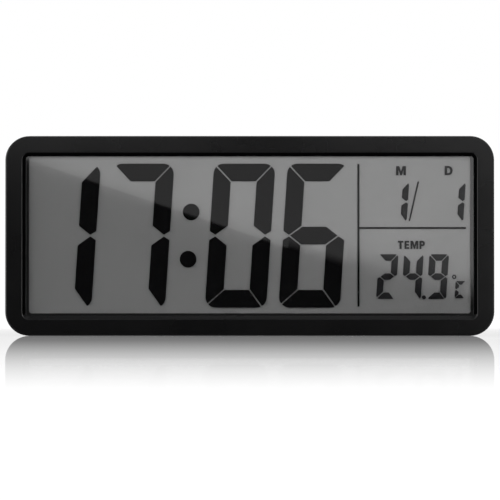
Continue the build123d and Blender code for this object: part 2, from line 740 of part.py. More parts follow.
with BuildPart() as reflector:
    with BuildSketch(facing(REFLECTOR_BACK)):
        with Locations((0, VIEW_RISE)):
            Rectangle(GLASS_WIDTH, REAR_GLASS_HEIGHT)
    extrude(amount=REFLECTOR_THICK)
save(reflector.part, "lcd_reflector")

# Characters in the sealed cell
time_right, time_up = in_view(TIME_PLACE_SHARES)
for name, pair, bars in (("hour_segments", -1, HOUR_BARS), ("minute_segments", 1, MINUTE_BARS)):
    with BuildPart() as time_segments:
        with BuildSketch(facing(SEGMENT_BACK)):
            for side, lit in zip((-1, 1), bars):
                step = VIEW_WIDTH * (pair * PAIR_PITCH_SHARE + side * TIME_PITCH_SHARE) / 2
                add(character(TIME_DIGIT, lit, (time_right + step, time_up)))
        extrude(amount=SEGMENT_THICK)
    save(time_segments.part, name)

with BuildPart() as colon_dots:
    with BuildSketch(facing(SEGMENT_BACK)):
        for side in (-1, 1):
            rise = side * VIEW_HEIGHT * COLON_PITCH_SHARE / 2
            with Locations((time_right + SLANT * rise, time_up + rise)):
                Circle(TIME_DIGIT.bar * COLON_BAR_SHARE / 2)
    extrude(amount=SEGMENT_THICK)
save(colon_dots.part, "colon_dots")

slash_height = VIEW_HEIGHT * SLASH_HEIGHT_SHARE
slash_lean = SLASH_SLANT * slash_height / 2
with BuildPart() as date_segments:
    with BuildSketch(facing(SEGMENT_BACK)):
        for shares in (MONTH_PLACE_SHARES, DAY_PLACE_SHARES):
            add(character(DATE_DIGIT, DATE_BARS, in_view(shares)))
        with Locations(in_view(SLASH_PLACE_SHARES)):
            Polygon(
                (-slash_lean - SLASH_WIDTH / 2, -slash_height / 2),
                (-slash_lean + SLASH_WIDTH / 2, -slash_height / 2),
                (slash_lean + SLASH_WIDTH / 2, slash_height / 2),
                (slash_lean - SLASH_WIDTH / 2, slash_height / 2),
                align=None,
            )
    extrude(amount=SEGMENT_THICK)
save(date_segments.part, "date_segments")

temperature_right, temperature_up = in_view(TEMPERATURE_PLACE_SHARES)
with BuildPart() as temperature_segments:
    with BuildSketch(facing(SEGMENT_BACK)):
        for step, lit in zip((-1, 0, 1), TEMPERATURE_BARS):
            digit_right = temperature_right + step * VIEW_WIDTH * TEMPERATURE_PITCH_SHARE
            add(character(DEGREES_DIGIT, lit, (digit_right, temperature_up)))
        add(character(UNIT_DIGIT, UNIT_BARS, in_view(UNIT_PLACE_SHARES)))
        with Locations(in_view(POINT_PLACE_SHARES)):
            Circle(DEGREES_DIGIT.bar * POINT_BAR_SHARE / 2)
        degree_radius = DEGREES_DIGIT.bar * DEGREE_BAR_SHARE / 2
        with Locations(in_view(DEGREE_PLACE_SHARES)):
            Circle(degree_radius)
            Circle(degree_radius - DEGREE_LINE, mode=Mode.SUBTRACT)
    extrude(amount=SEGMENT_THICK)
save(temperature_segments.part, "temperature_segments")

divider_place = in_view(DIVIDER_PLACE_SHARES)
shelf_place = in_view((DIVIDER_PLACE_SHARES[0], SHELF_UP_SHARE))
with BuildPart() as panel_lines:
    with BuildSketch(facing(SEGMENT_BACK)):
        with Locations(divider_place):
            Rectangle(DIVIDER_WIDTH, VIEW_HEIGHT * DIVIDER_HEIGHT_SHARE)
        with Locations(shelf_place):
            Rectangle(VIEW_WIDTH * SHELF_LENGTH_SHARE, SHELF_WIDTH, align=(Align.MIN, Align.CENTER))
    extrude(amount=SEGMENT_THICK)
save(panel_lines.part, "panel_lines")

# Tray that presses the display to the lens, screwed to the posts of the bezel
with BuildPart() as lcd_holder:
    with BuildSketch(facing(HOLDER_BACK)):
        with Locations((0, FRONT_GLASS_UP)):
            RectangleRounded(HOLDER_WIDTH, HOLDER_HEIGHT, HOLDER_CORNER)
    extrude(amount=HOLDER_BACK - LENS_BACK)
    with BuildSketch(facing(REFLECTOR_BACK)):
        with Locations((0, FRONT_GLASS_UP)):
            Rectangle(TRAY_WIDTH, TRAY_HEIGHT)
    extrude(amount=REFLECTOR_BACK - LENS_BACK, mode=Mode.SUBTRACT)
    with BuildSketch(facing(HOLDER_BACK)):
        with Locations((0, FRONT_GLASS_UP)):
            with GridLocations(HOLDER_WINDOW_PITCH, HOLDER_WINDOW_HEIGHT, HOLDER_WINDOW_COUNT, 1):
                RectangleRounded(HOLDER_WINDOW_WIDTH, HOLDER_WINDOW_HEIGHT, HOLDER_WINDOW_CORNER)
    extrude(amount=HOLDER_PLATE, mode=Mode.SUBTRACT)
    ear_length = POST_RIGHT + POST_DIA / 2 - HOLDER_WIDTH / 2 + HOLDER_RIM
    with BuildSketch(facing(HOLDER_BACK)):
        for right, up in POST_PLACES:
            outward = Align.MIN if right < 0 else Align.MAX
            with Locations((right + POST_DIA / 2 * (1 if right > 0 else -1), up)):
                Rectangle(ear_length, EAR_HEIGHT, align=(outward, Align.CENTER))
        with Locations(*POST_PLACES):
            Circle(HOLDER_SCREW_DIA / 2 + FIT, mode=Mode.SUBTRACT)
    extrude(amount=HOLDER_PLATE)
    with BuildSketch(facing(REFLECTOR_BACK)):
        with Locations((BOARD_RIGHT, FRONT_GLASS_UP + HOLDER_HEIGHT / 2)):
            Rectangle(RIBBON_WIDTH + 2 * RIBBON_NOTCH, 2 * (HOLDER_RIM + RIBBON_NOTCH))
    extrude(amount=REFLECTOR_BACK - LENS_BACK, mode=Mode.SUBTRACT)
    with BuildSketch(facing(HOLDER_BACK)):
        with Locations(*CASE_SCREW_PLACES):
            Circle(BOSS_DIA / 2 + RUN)
    extrude(amount=HOLDER_BACK - LENS_BACK, mode=Mode.SUBTRACT)
save(lcd_holder.part, "lcd_holder")

save(
    screw_set(
        POST_PLACES, HOLDER_BACK, HOLDER_SCREW_DIA - 2 * PIN_FIT, HOLDER_SCREW_LENGTH,
        HOLDER_SCREW_HEAD_DIA, HOLDER_SCREW_HEAD,
    ),
    "holder_screws",
)

# Printed circuit board on four bosses of the rear case
with BuildPart() as main_board:
    with BuildSketch(facing(BOARD_BACK)):
        with Locations((BOARD_RIGHT, BOARD_UP)):
            RectangleRounded(BOARD_WIDTH, BOARD_HEIGHT, BOARD_CORNER)
        with Locations(*BOARD_SCREW_PLACES):
            Circle(BOARD_SCREW_DIA / 2 + FIT, mode=Mode.SUBTRACT)
    extrude(amount=BOARD_THICK)
save(main_board.part, "main_board")

save(
    screw_set(
        BOARD_SCREW_PLACES, BOARD_FRONT, BOARD_SCREW_DIA - 2 * PIN_FIT, BOARD_SCREW_LENGTH,
        BOARD_SCREW_HEAD_DIA, BOARD_SCREW_HEAD, forward=False,
    ),
    "board_screws",
)

# Resin cap over the controller: a low dome on the front of the board
cap_middle = point(BOARD_RIGHT + CHIP_RIGHT, BOARD_UP + CHIP_UP, BOARD_FRONT)
with BuildPart() as controller_chip:
    with BuildSketch(Plane(origin=cap_middle, x_dir=(1, 0, 0), z_dir=(0, 0, -1))):
        with BuildLine():
            TangentArc((0, CHIP_HEIGHT), (CHIP_DIA / 2, 0), tangent=(1, 0))
            Line((CHIP_DIA / 2, 0), (0, 0))
            Line((0, 0), (0, CHIP_HEIGHT))
        make_face()
    revolve(axis=Axis(origin=cap_middle, direction=(0, -1, 0)))
save(controller_chip.part, "controller_chip")

# Quartz crystal can, lying on the front of the board
crystal_plane = crosswise(BOARD_RIGHT + CRYSTAL_RIGHT, BOARD_UP + CRYSTAL_UP, BOARD_FRONT - CRYSTAL_DIA / 2)
with BuildPart() as quartz_crystal:
    with BuildSketch(crystal_plane):
        Circle(CRYSTAL_DIA / 2)
    extrude(amount=CRYSTAL_LENGTH)
    with BuildSketch(crystal_plane):
        with GridLocations(0, CRYSTAL_LEG_PITCH, 1, 2):
            Circle(CRYSTAL_LEG_DIA / 2)
    extrude(amount=-CRYSTAL_LEG)
save(quartz_crystal.part, "quartz_crystal")

# Upright capacitors on the front of the board
with BuildPart() as board_capacitors:
    with BuildSketch(facing(BOARD_FRONT)):
        with Locations(CAPACITOR_PLACE):
            with GridLocations(CAPACITOR_PITCH, CAPACITOR_PITCH, CAPACITOR_COUNT, 1):
                Circle(CAPACITOR_DIA / 2)
    extrude(amount=CAPACITOR_HEIGHT)
    fillet(board_capacitors.edges().group_by(Axis.Y)[0], radius=CAPACITOR_EDGE)
save(board_capacitors.part, "board_capacitors")

# Sounder on the back of the board, with its sound hole to the back
with BuildPart() as buzzer:
    with BuildSketch(facing(BOARD_BACK)):
        with Locations(BUZZER_PLACE):
            Circle(BUZZER_DIA / 2)
    extrude(amount=-BUZZER_HEIGHT)
    fillet(buzzer.edges().group_by(Axis.Y)[-1], radius=BUZZER_EDGE)
    with BuildSketch(facing(BOARD_BACK + BUZZER_HEIGHT)):
        with Locations(BUZZER_PLACE):
            Circle(BUZZER_HOLE_DIA / 2)
    extrude(amount=BUZZER_HEIGHT / 2, mode=Mode.SUBTRACT)
save(buzzer.part, "buzzer")

# Temperature bead on two legs past the side of the board
sensor_base = crosswise(BOARD_LEFT_END, SENSOR_PLACE[1], BOARD_BACK + SENSOR_LEG_DIA / 2)
with BuildPart() as temperature_sensor:
    with BuildSketch(sensor_base.offset(SENSOR_LEG_LAP)):
        with GridLocations(0, SENSOR_LEG_PITCH, 1, 2):
            Circle(SENSOR_LEG_DIA / 2)
    extrude(amount=-SENSOR_LEG_LAP - SENSOR_REACH)
    with BuildSketch(sensor_base.offset(-SENSOR_REACH)):
        with BuildLine():
            CenterArc((0, 0), SENSOR_DIA / 2, -90, 180)
            Line((0, SENSOR_DIA / 2), (0, -SENSOR_DIA / 2))
        make_face()
    revolve(axis=Axis(origin=sensor_base.offset(-SENSOR_REACH).origin, direction=(0, 0, 1)))
save(temperature_sensor.part, "temperature_sensor")

# Ribbon from the ledge of the front glass, over the top of the tray and down to the board
ribbon_start_up = FRONT_GLASS_UP + FRONT_GLASS_HEIGHT / 2 - RIBBON_LAP
ribbon_top_up = CAVITY_HEIGHT / 2 - RIBBON_TOP_GAP
ribbon_end_up = BOARD_TOP - RIBBON_BOARD_LAP
ribbon_front = FRONT_GLASS_BACK + RIBBON_THICK / 2
ribbon_back = BOARD_FRONT - RIBBON_THICK / 2
ribbon_start = point(BOARD_RIGHT, ribbon_start_up, ribbon_front)
with BuildPart() as lcd_ribbon:
    with BuildLine() as ribbon_path:
        FilletPolyline(
            ribbon_start,
            point(BOARD_RIGHT, ribbon_top_up, ribbon_front),
            point(BOARD_RIGHT, ribbon_top_up, ribbon_back),
            point(BOARD_RIGHT, ribbon_end_up, ribbon_back),
            radius=RIBBON_BEND,
        )
    with BuildSketch(Plane(origin=ribbon_start, x_dir=(1, 0, 0), z_dir=(0, 0, 1))):
        Rectangle(RIBBON_WIDTH, RIBBON_THICK)
    sweep(path=ribbon_path.wires()[0])
save(lcd_ribbon.part, "lcd_ribbon")

# Push switches on the back of the board
with BuildPart() as tact_switches:
    with BuildSketch(facing(SWITCH_BACK)):
        with Locations(*BUTTON_PLACES):
            Rectangle(SWITCH_SIDE, SWITCH_SIDE)
    extrude(amount=SWITCH_HEIGHT)
    with BuildSketch(facing(SWITCH_BACK)):
        with Locations(*BUTTON_PLACES):
            Circle(SWITCH_STEM_DIA / 2 + FIT)
    extrude(amount=SWITCH_STEM_SINK + BUTTON_TRAVEL + RUN, mode=Mode.SUBTRACT)
save(tact_switches.part, "tact_switches")

# Buttons, each with the stem of its switch
for name, place in zip(BUTTON_NAMES, BUTTON_PLACES):
    with BuildPart() as button:
        with BuildSketch(facing(PANEL_Y + BUTTON_PROUD)):
            with Locations(place):
                SlotOverall(BUTTON_LENGTH, BUTTON_HEIGHT)
        extrude(amount=PANEL_Y + BUTTON_PROUD - FLANGE_BACK)
        fillet(button.edges().group_by(Axis.Y)[-1], radius=BUTTON_EDGE)
        with BuildSketch(facing(FLANGE_BACK)):
            with Locations(place):
                SlotOverall(BUTTON_LENGTH + 2 * BUTTON_FLANGE_LAP, BUTTON_HEIGHT + 2 * BUTTON_FLANGE_LAP)
        extrude(amount=BUTTON_FLANGE)
    save(button.part, f"{name}_button")
    with BuildPart() as stem:
        with BuildSketch(facing(FLANGE_FRONT)):
            with Locations(place):
                Circle(SWITCH_STEM_DIA / 2)
        extrude(amount=FLANGE_FRONT - SWITCH_BACK + SWITCH_STEM_SINK)
    save(stem.part, f"{name}_switch_stem")

# Rear case: shell, bosses, wells and pockets first, then everything that is cut from the back
with BuildPart() as rear_case:
    with BuildSketch(facing(BACK_Y)):
        RectangleRounded(CASE_WIDTH, CASE_HEIGHT, CASE_CORNER)
    extrude(amount=REAR_DEPTH)
    fillet(rear_case.faces().sort_by(Axis.Y)[-1].edges(), radius=REAR_EDGE)
    chamfer(rear_case.faces().sort_by(Axis.Y)[0].edges(), length=PARTING_GROOVE)
    with BuildSketch(facing(INNER_BACK_Y)):
        RectangleRounded(CAVITY_WIDTH, CAVITY_HEIGHT, CAVITY_CORNER)
    extrude(amount=REAR_DEPTH, mode=Mode.SUBTRACT)
    tongue_in = FIT + TONGUE_WALL
    for outer_in, foot, rise in ((0, TONGUE_REACH, TONGUE_REACH), (FIT, 0, TONGUE_REACH)):
        with BuildSketch(facing(PARTING_Y + foot)):
            for inset, mode in ((outer_in, Mode.ADD), (tongue_in, Mode.SUBTRACT)):
                RectangleRounded(
                    CAVITY_WIDTH - 2 * inset, CAVITY_HEIGHT - 2 * inset, CAVITY_CORNER - inset, mode=mode
                )
        extrude(amount=rise)
    with BuildSketch(facing(INNER_BACK_Y)):
        with Locations(*CASE_SCREW_PLACES):
            Circle(REAR_BOSS_DIA / 2)
    extrude(amount=INNER_BACK_Y - PARTING_Y)
    with BuildSketch(facing(INNER_BACK_Y)):
        with Locations(*BOARD_SCREW_PLACES):
            Circle(BOARD_BOSS_DIA / 2)
    extrude(amount=BOARD_STANDOFF)
    with BuildSketch(facing(INNER_BACK_Y)):
        with Locations((BOARD_RIGHT, BUTTON_UP)):
            Rectangle(PANEL_WIDTH + 2 * BACK_WALL, PANEL_HEIGHT + 2 * BACK_WALL)
    extrude(amount=PANEL_DEPTH)
    with BuildSketch(facing(INNER_BACK_Y)):
        with Locations((0, WELL_UP)):
            Rectangle(WELL_WIDTH + 2 * WELL_WALL, WELL_HEIGHT + 2 * WELL_WALL)
    extrude(amount=INNER_BACK_Y - WELL_FLOOR_Y + WELL_WALL)
    with BuildSketch(facing(INNER_BACK_Y)):
        with Locations((BAY_RIGHT, BAY_UP)):
            Rectangle(DOOR_WIDTH + 2 * (RUN + BAY_WALL), DOOR_HEIGHT + 2 * (RUN + BAY_WALL))
    extrude(amount=INNER_BACK_Y - DOOR_SEAT_Y + LEDGE_THICK)
    with BuildSketch(facing(INNER_BACK_Y)):
        with Locations((BAY_RIGHT, BAY_UP)):
            Rectangle(BAY_LENGTH + 2 * BAY_WALL, BAY_HEIGHT + 2 * BAY_WALL)
    extrude(amount=INNER_BACK_Y - BAY_FLOOR_Y + BAY_WALL)
    with BuildSketch(facing(INNER_BACK_Y)):
        with Locations(*[(right, KEY_POCKET_UP) for right, up in KEYHOLE_PLACES]):
            Rectangle(KEY_POCKET_WIDTH + 2 * KEY_POCKET_WALL, KEY_POCKET_HEIGHT + 2 * KEY_POCKET_WALL)
            Rectangle(KEY_POCKET_WIDTH, KEY_POCKET_HEIGHT, mode=Mode.SUBTRACT)
    extrude(amount=KEY_POCKET_DEPTH)
    with BuildSketch(facing(KEY_POCKET_Y)):
        with Locations(*[(right, KEY_POCKET_UP) for right, up in KEYHOLE_PLACES]):
            Rectangle(KEY_POCKET_WIDTH + 2 * KEY_POCKET_WALL, KEY_POCKET_HEIGHT + 2 * KEY_POCKET_WALL)
    extrude(amount=KEY_POCKET_WALL)
    with BuildSketch(facing(BACK_Y)):
        with Locations((0, WELL_UP)):
            well = Rectangle(WELL_WIDTH, WELL_HEIGHT)
        fillet(well.vertices().group_by(Axis.Y)[0], radius=WELL_CORNER)
    extrude(amount=WELL_DEPTH, mode=Mode.SUBTRACT)
    with BuildSketch(facing(BACK_Y)):
        with Locations((BAY_RIGHT, BAY_UP)):
            doorway = Rectangle(DOOR_WIDTH + 2 * RUN, DOOR_HEIGHT + 2 * RUN)
        fillet(doorway.vertices().group_by(Axis.Y)[0], radius=DOOR_CORNER + RUN)
    extrude(amount=BACK_Y - DOOR_SEAT_Y, mode=Mode.SUBTRACT)
    with BuildSketch(facing(BACK_Y)):
        with Locations((BOARD_RIGHT, BUTTON_UP)):
            RectangleRounded(PANEL_WIDTH, PANEL_HEIGHT, PANEL_CORNER)
    extrude(amount=PANEL_DEPTH, mode=Mode.SUBTRACT)
    with BuildSketch(facing(BACK_Y)):
        with Locations((0, PLATE_RECESS_UP)):
            RectangleRounded(PLATE_RECESS_WIDTH, PLATE_RECESS_HEIGHT, PLATE_RECESS_CORNER)
    extrude(amount=PLATE_RECESS_DEPTH, mode=Mode.SUBTRACT)
    with BuildSketch(facing(BACK_Y)):
        with Locations(*CASE_SCREW_PLACES):
            Circle(HEAD_WELL_DIA / 2)
    extrude(amount=BACK_Y - CASE_SCREW_SEAT, mode=Mode.SUBTRACT)
    with BuildSketch(facing(BACK_Y)):
        for right, up in (SENSOR_PLACE, BUZZER_PLACE):
            with Locations((right, up)):
                with GridLocations(SLOT_PITCH, SLOT_LENGTH, SLOT_COUNT, 1):
                    SlotOverall(SLOT_LENGTH, SLOT_WIDTH, rotation=90)
    extrude(amount=BACK_WALL, mode=Mode.SUBTRACT)
    rims = rear_case.faces().sort_by(Axis.Y)[-1].inner_wires()
    chamfer([edge for rim in rims for edge in rim.edges()], length=RIM_CHAMFER)
    with BuildSketch(facing(BACK_Y)):
        with Locations(*KEYHOLE_PLACES):
            Circle(KEYHOLE_DIA / 2)
            Rectangle(KEYSLOT_WIDTH, KEYSLOT_RISE, align=(Align.CENTER, Align.MIN))
        with Locations(*[(right, up + KEYSLOT_RISE) for right, up in KEYHOLE_PLACES]):
            Circle(KEYSLOT_WIDTH / 2)
    extrude(amount=BACK_WALL, mode=Mode.SUBTRACT)
    with BuildSketch(facing(CASE_SCREW_SEAT)):
        with Locations(*CASE_SCREW_PLACES):
            Circle(CASE_SCREW_DIA / 2 + FIT)
    extrude(amount=BOSS_SEAT, mode=Mode.SUBTRACT)
    with BuildSketch(facing(BOARD_BACK)):
        with Locations(*BOARD_SCREW_PLACES):
            Circle(BOARD_SCREW_DIA / 2)
    extrude(amount=-BOARD_SCREW_LENGTH, mode=Mode.SUBTRACT)
    with BuildSketch(facing(PANEL_Y)):
        with Locations(*BUTTON_PLACES):
            SlotOverall(BUTTON_LENGTH + 2 * RUN, BUTTON_HEIGHT + 2 * RUN)
    extrude(amount=BACK_WALL, mode=Mode.SUBTRACT)
    with BuildSketch(facing(DOOR_SEAT_Y)):
        with Locations((BAY_RIGHT, BAY_UP)):
            Rectangle(BAY_LENGTH, BAY_HEIGHT)
    extrude(amount=DOOR_SEAT_Y - BAY_FLOOR_Y, mode=Mode.SUBTRACT)
    with BuildSketch(facing(DOOR_SEAT_Y)):
        for right in LUG_PLACES:
            with Locations((right, DOOR_AXIS_UP + DOOR_THICK / 2 + LUG_HOOK + RUN)):
                Rectangle(LUG_WIDTH + 2 * RUN, LUG_SLOT_HEIGHT, align=(Align.CENTER, Align.MAX))
    extrude(amount=DOOR_SEAT_Y - DOOR_AXIS_Y + LUG_SWING + RUN, mode=Mode.SUBTRACT)
    with BuildSketch(crosswise(BAY_LEFT_END - BAY_WALL, BAY_UP, LEAD_Y)):
        with GridLocations(0, CELL_PITCH, 1, 2):
            Rectangle(TAIL_WIDTH + 2 * FIT, PLATE_THICK + 2 * FIT)
    extrude(amount=BAY_WALL, mode=Mode.SUBTRACT)
    with BuildSketch(crosswise(-PIN_LENGTH / 2 - FIT, PIVOT_UP, PIVOT_Y)):
        Circle(PIN_DIA / 2 + PIN_FIT)
    extrude(amount=PIN_LENGTH + 2 * FIT, mode=Mode.SUBTRACT)
save(rear_case.part, "rear_case")

save(
    screw_set(
        CASE_SCREW_PLACES, CASE_SCREW_SEAT, CASE_SCREW_DIA - 2 * PIN_FIT, CASE_SCREW_LENGTH,
        CASE_SCREW_HEAD_DIA, CASE_SCREW_HEAD,
    ),
    "case_screws",
)

# Round cells: the upper one points right, the lower one left
with BuildPart() as battery_cells:
    for turn, up in CELL_ROWS:
        nub_end = BAY_RIGHT + turn * (BAY_LENGTH / 2 - PLATE_THICK)
        can_length = CELL_LENGTH - CELL_NUB
        with BuildSketch(crosswise(nub_end, up, CELL_Y)):
            Circle(CELL_NUB_DIA / 2)
        extrude(amount=-turn * CELL_NUB)
        with BuildSketch(crosswise(nub_end - turn * CELL_NUB, up, CELL_Y)):
            Circle(CELL_DIA / 2)
        extrude(amount=-turn * can_length)
    rims = battery_cells.edges().filter_by(GeomType.CIRCLE).group_by(SortBy.RADIUS)[-1]
    fillet(rims, radius=CELL_EDGE)
save(battery_cells.part, "battery_cells")

# Contact plates: one joins the cells at the right end, two with tails serve the leads at the left end
with BuildPart() as battery_plates:
    with BuildSketch(crosswise(BAY_RIGHT_END, BAY_UP, CELL_Y)):
        Rectangle(PLATE_WIDTH, CELL_PITCH + PLATE_WIDTH)
    extrude(amount=-PLATE_THICK)
    with BuildSketch(crosswise(BAY_LEFT_END, BAY_UP, CELL_Y)):
        with GridLocations(0, CELL_PITCH, 1, 2):
            Rectangle(PLATE_WIDTH, PLATE_WIDTH)
    extrude(amount=PLATE_THICK)
    with BuildSketch(crosswise(BAY_LEFT_END, BAY_UP, LEAD_Y)):
        with GridLocations(0, CELL_PITCH, 1, 2):
            Rectangle(TAIL_WIDTH, PLATE_THICK)
    extrude(amount=-BAY_WALL - TAIL_REACH)
save(battery_plates.part, "battery_plates")

# Conical contact springs at the flat end of each cell
with BuildPart() as battery_springs:
    for turn, up in CELL_ROWS:
        base = point(BAY_RIGHT - turn * (BAY_LENGTH / 2 - PLATE_THICK), up, CELL_Y)
        with BuildLine() as wire_path:
            for quarter in range(SPRING_TURNS * QUARTERS):
                first, last = quarter / QUARTERS, (quarter + 1) / QUARTERS
                biarc(
                    spring_point(first, base, turn), spring_run(first, turn),
                    spring_point(last, base, turn), spring_run(last, turn),
                )
        with BuildSketch(Plane(origin=spring_point(0, base, turn), z_dir=spring_run(0, turn))):
            Circle(SPRING_WIRE_DIA / 2)
        sweep(path=wire_path.wires()[0])
save(battery_springs.part, "battery_springs")

spring_samples = [spring_point(step / SPRING_SAMPLES, Vector(0, 0, 0), 1) for step in range(SPRING_COUNT)]
spring_gap = min(
    (far - near).length
    for index, near in enumerate(spring_samples)
    for far in spring_samples[index + SPRING_SAMPLES // 2:]
) - SPRING_WIRE_DIA
print(f"least gap between the turns of a spring: {spring_gap:.2f} mm")

# Leads from the contact tails to the board, behind the stand well
for (turn, up), name in zip(CELL_ROWS, ("battery_lead_black", "battery_lead_red")):
    lead_start = BAY_LEFT_END - BAY_WALL - TAIL_REACH
    lead_end = BOARD_RIGHT_END - LEAD_LAP
    end_up = BOARD_UP + turn * LEAD_STEP / 2
    route = [
        point(
            lead_start + (lead_end - lead_start) * along,
            up + (end_up - up) * swing - LEAD_DROP * drop,
            LEAD_Y,
        )
        for along, swing, drop in LEAD_SHARES
    ]
    radii = bend_radii(route)
    print(f"{name} bends:", [round(radius, 1) for radius in radii])
    with BuildPart() as lead:
        with BuildLine() as lead_path:
            FilletPolyline(*route, radius=radii)
        with BuildSketch(Plane(origin=route[0], z_dir=route[1] - route[0])):
            Circle(LEAD_DIA / 2)
        sweep(path=lead_path.wires()[0])
    save(lead.part, name)

# Battery door: plate with a round bead to turn on, two hooked lugs above and a spring latch below
door_bottom_up = BAY_UP - DOOR_HEIGHT / 2
with BuildPart() as battery_door:
    with BuildSketch(facing(BACK_Y)):
        with Locations((BAY_RIGHT, DOOR_AXIS_UP)):
            panel = Rectangle(DOOR_WIDTH, DOOR_HEIGHT - DOOR_THICK / 2, align=(Align.CENTER, Align.MAX))
        fillet(panel.vertices().group_by(Axis.Y)[0], radius=DOOR_CORNER)
    extrude(amount=DOOR_THICK)
    outer_edges = battery_door.faces().sort_by(Axis.Y)[-1].edges().sort_by(Axis.Z)[:-1]
    fillet(outer_edges, radius=DOOR_EDGE)
    with BuildSketch(crosswise(BAY_RIGHT - DOOR_WIDTH / 2, DOOR_AXIS_UP, DOOR_AXIS_Y)):
        Circle(DOOR_THICK / 2)
    extrude(amount=DOOR_WIDTH)
    for right in LUG_PLACES:
        with BuildSketch(crosswise(right - LUG_WIDTH / 2, DOOR_AXIS_UP, DOOR_INNER_Y)):
            with Locations((OVERRUN, 0)):
                Rectangle(LUG_DROP + OVERRUN, LUG_THICK, align=(Align.MAX, Align.MAX))
            with Locations((-LUG_DROP, -LUG_THICK)):
                Rectangle(LUG_THICK, LUG_THICK + DOOR_THICK / 2 + LUG_HOOK, align=Align.MIN)
        extrude(amount=LUG_WIDTH)
    with BuildSketch(facing(DOOR_INNER_Y)):
        with Locations((BAY_RIGHT, BAY_UP)):
            with GridLocations(DOOR_RIB_PITCH, 0, 2, 1):
                Rectangle(DOOR_RIB, BAY_HEIGHT - 2 * DOOR_RIB_SHORT)
    extrude(amount=DOOR_RIB_HEIGHT)
    with BuildSketch(facing(BACK_Y)):
        with Locations((BAY_RIGHT, door_bottom_up)):
            with GridLocations(LATCH_WIDTH + LATCH_SLIT, 0, 2, 1):
                Rectangle(LATCH_SLIT, 2 * LATCH_LENGTH)
    extrude(amount=DOOR_THICK, mode=Mode.SUBTRACT)
    with BuildSketch(facing(DOOR_INNER_Y + DOOR_THICK / 2)):
        with Locations((BAY_RIGHT, door_bottom_up)):
            Rectangle(LATCH_WIDTH - 2 * LATCH_SLIT, 2 * LATCH_TOE)
    extrude(amount=DOOR_THICK / 2)
    with BuildSketch(facing(BACK_Y)):
        with Locations((BAY_RIGHT, door_bottom_up + LATCH_LENGTH / 2)):
            with GridLocations(0, GRIP_PITCH, 1, GRIP_COUNT):
                SlotOverall(LATCH_WIDTH - 2 * GRIP_PITCH, GRIP_RIB)
    extrude(amount=GRIP_SINK, mode=Mode.SUBTRACT)
save(battery_door.part, "battery_door")

# Stand: hollow ribbed leg on a steel pin, with a finger notch and two rubber pads at its free end
with BuildPart() as stand_leg:
    with BuildSketch(facing(BACK_Y)):
        with Locations((0, PIVOT_UP)):
            sheet = Rectangle(LEG_WIDTH, LEG_LENGTH, align=(Align.CENTER, Align.MAX))
        fillet(sheet.vertices().group_by(Axis.Y)[0], radius=LEG_CORNER)
        with Locations((0, LEG_END_UP)):
            RectangleRounded(NOTCH_WIDTH, 2 * NOTCH_HEIGHT, NOTCH_CORNER, mode=Mode.SUBTRACT)
    extrude(amount=LEG_THICK)
    outer_edges = stand_leg.faces().sort_by(Axis.Y)[-1].edges().sort_by(Axis.Z)[:-1]
    fillet(outer_edges, radius=LEG_EDGE)
    pocket_top = PIVOT_UP - BARREL_DIA / 2 - LEG_FRAME
    pocket_bottom = LEG_END_UP + NOTCH_HEIGHT + LEG_FRAME
    pocket_width = (LEG_WIDTH - 2 * LEG_FRAME - (LEG_RIB_COUNT - 1) * LEG_RIB) / LEG_RIB_COUNT
    with BuildSketch(facing(BACK_Y - LEG_SKIN)):
        with Locations((0, (pocket_top + pocket_bottom) / 2)):
            with GridLocations(pocket_width + LEG_RIB, 0, LEG_RIB_COUNT, 1):
                RectangleRounded(pocket_width, pocket_top - pocket_bottom, LEG_RIB)
    extrude(amount=LEG_THICK - LEG_SKIN, mode=Mode.SUBTRACT)
    with BuildSketch(crosswise(-LEG_WIDTH / 2, PIVOT_UP, PIVOT_Y)):
        Circle(BARREL_DIA / 2)
    extrude(amount=LEG_WIDTH)
    with BuildSketch(crosswise(-LEG_WIDTH / 2, PIVOT_UP, PIVOT_Y)):
        Circle(PIN_DIA / 2 + PIN_FIT)
    extrude(amount=LEG_WIDTH, mode=Mode.SUBTRACT)
save(stand_leg.part, "stand_leg")

with BuildPart() as stand_pin:
    with BuildSketch(crosswise(-PIN_LENGTH / 2, PIVOT_UP, PIVOT_Y)):
        Circle(PIN_DIA / 2)
    extrude(amount=PIN_LENGTH)
save(stand_pin.part, "stand_pin")

with BuildPart() as stand_pads:
    with BuildSketch(facing(BACK_Y - LEG_EDGE - PAD_IN)):
        with Locations((0, LEG_END_UP)):
            with GridLocations(NOTCH_WIDTH + 2 * PAD_IN + PAD_LENGTH, 0, 2, 1):
                Rectangle(PAD_LENGTH, PAD_THICK, align=(Align.CENTER, Align.MAX))
    extrude(amount=LEG_THICK - LEG_EDGE - 2 * PAD_IN)
save(stand_pads.part, "stand_pads")
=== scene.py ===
"""Dressed model of a wide wall clock with a reflective liquid crystal display.

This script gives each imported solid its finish, adds the small pieces that only Blender makes, and sets up
a plain pale studio. All lengths are in metres, in the frame of the solids: X to the right, Y to the back,
Z up.
"""
import json
import logging
import math
from abc import ABC, abstractmethod
from dataclasses import dataclass
from enum import Enum, IntEnum
from typing import ClassVar

import bmesh
import bpy
from mathutils import Euler, Matrix, Vector

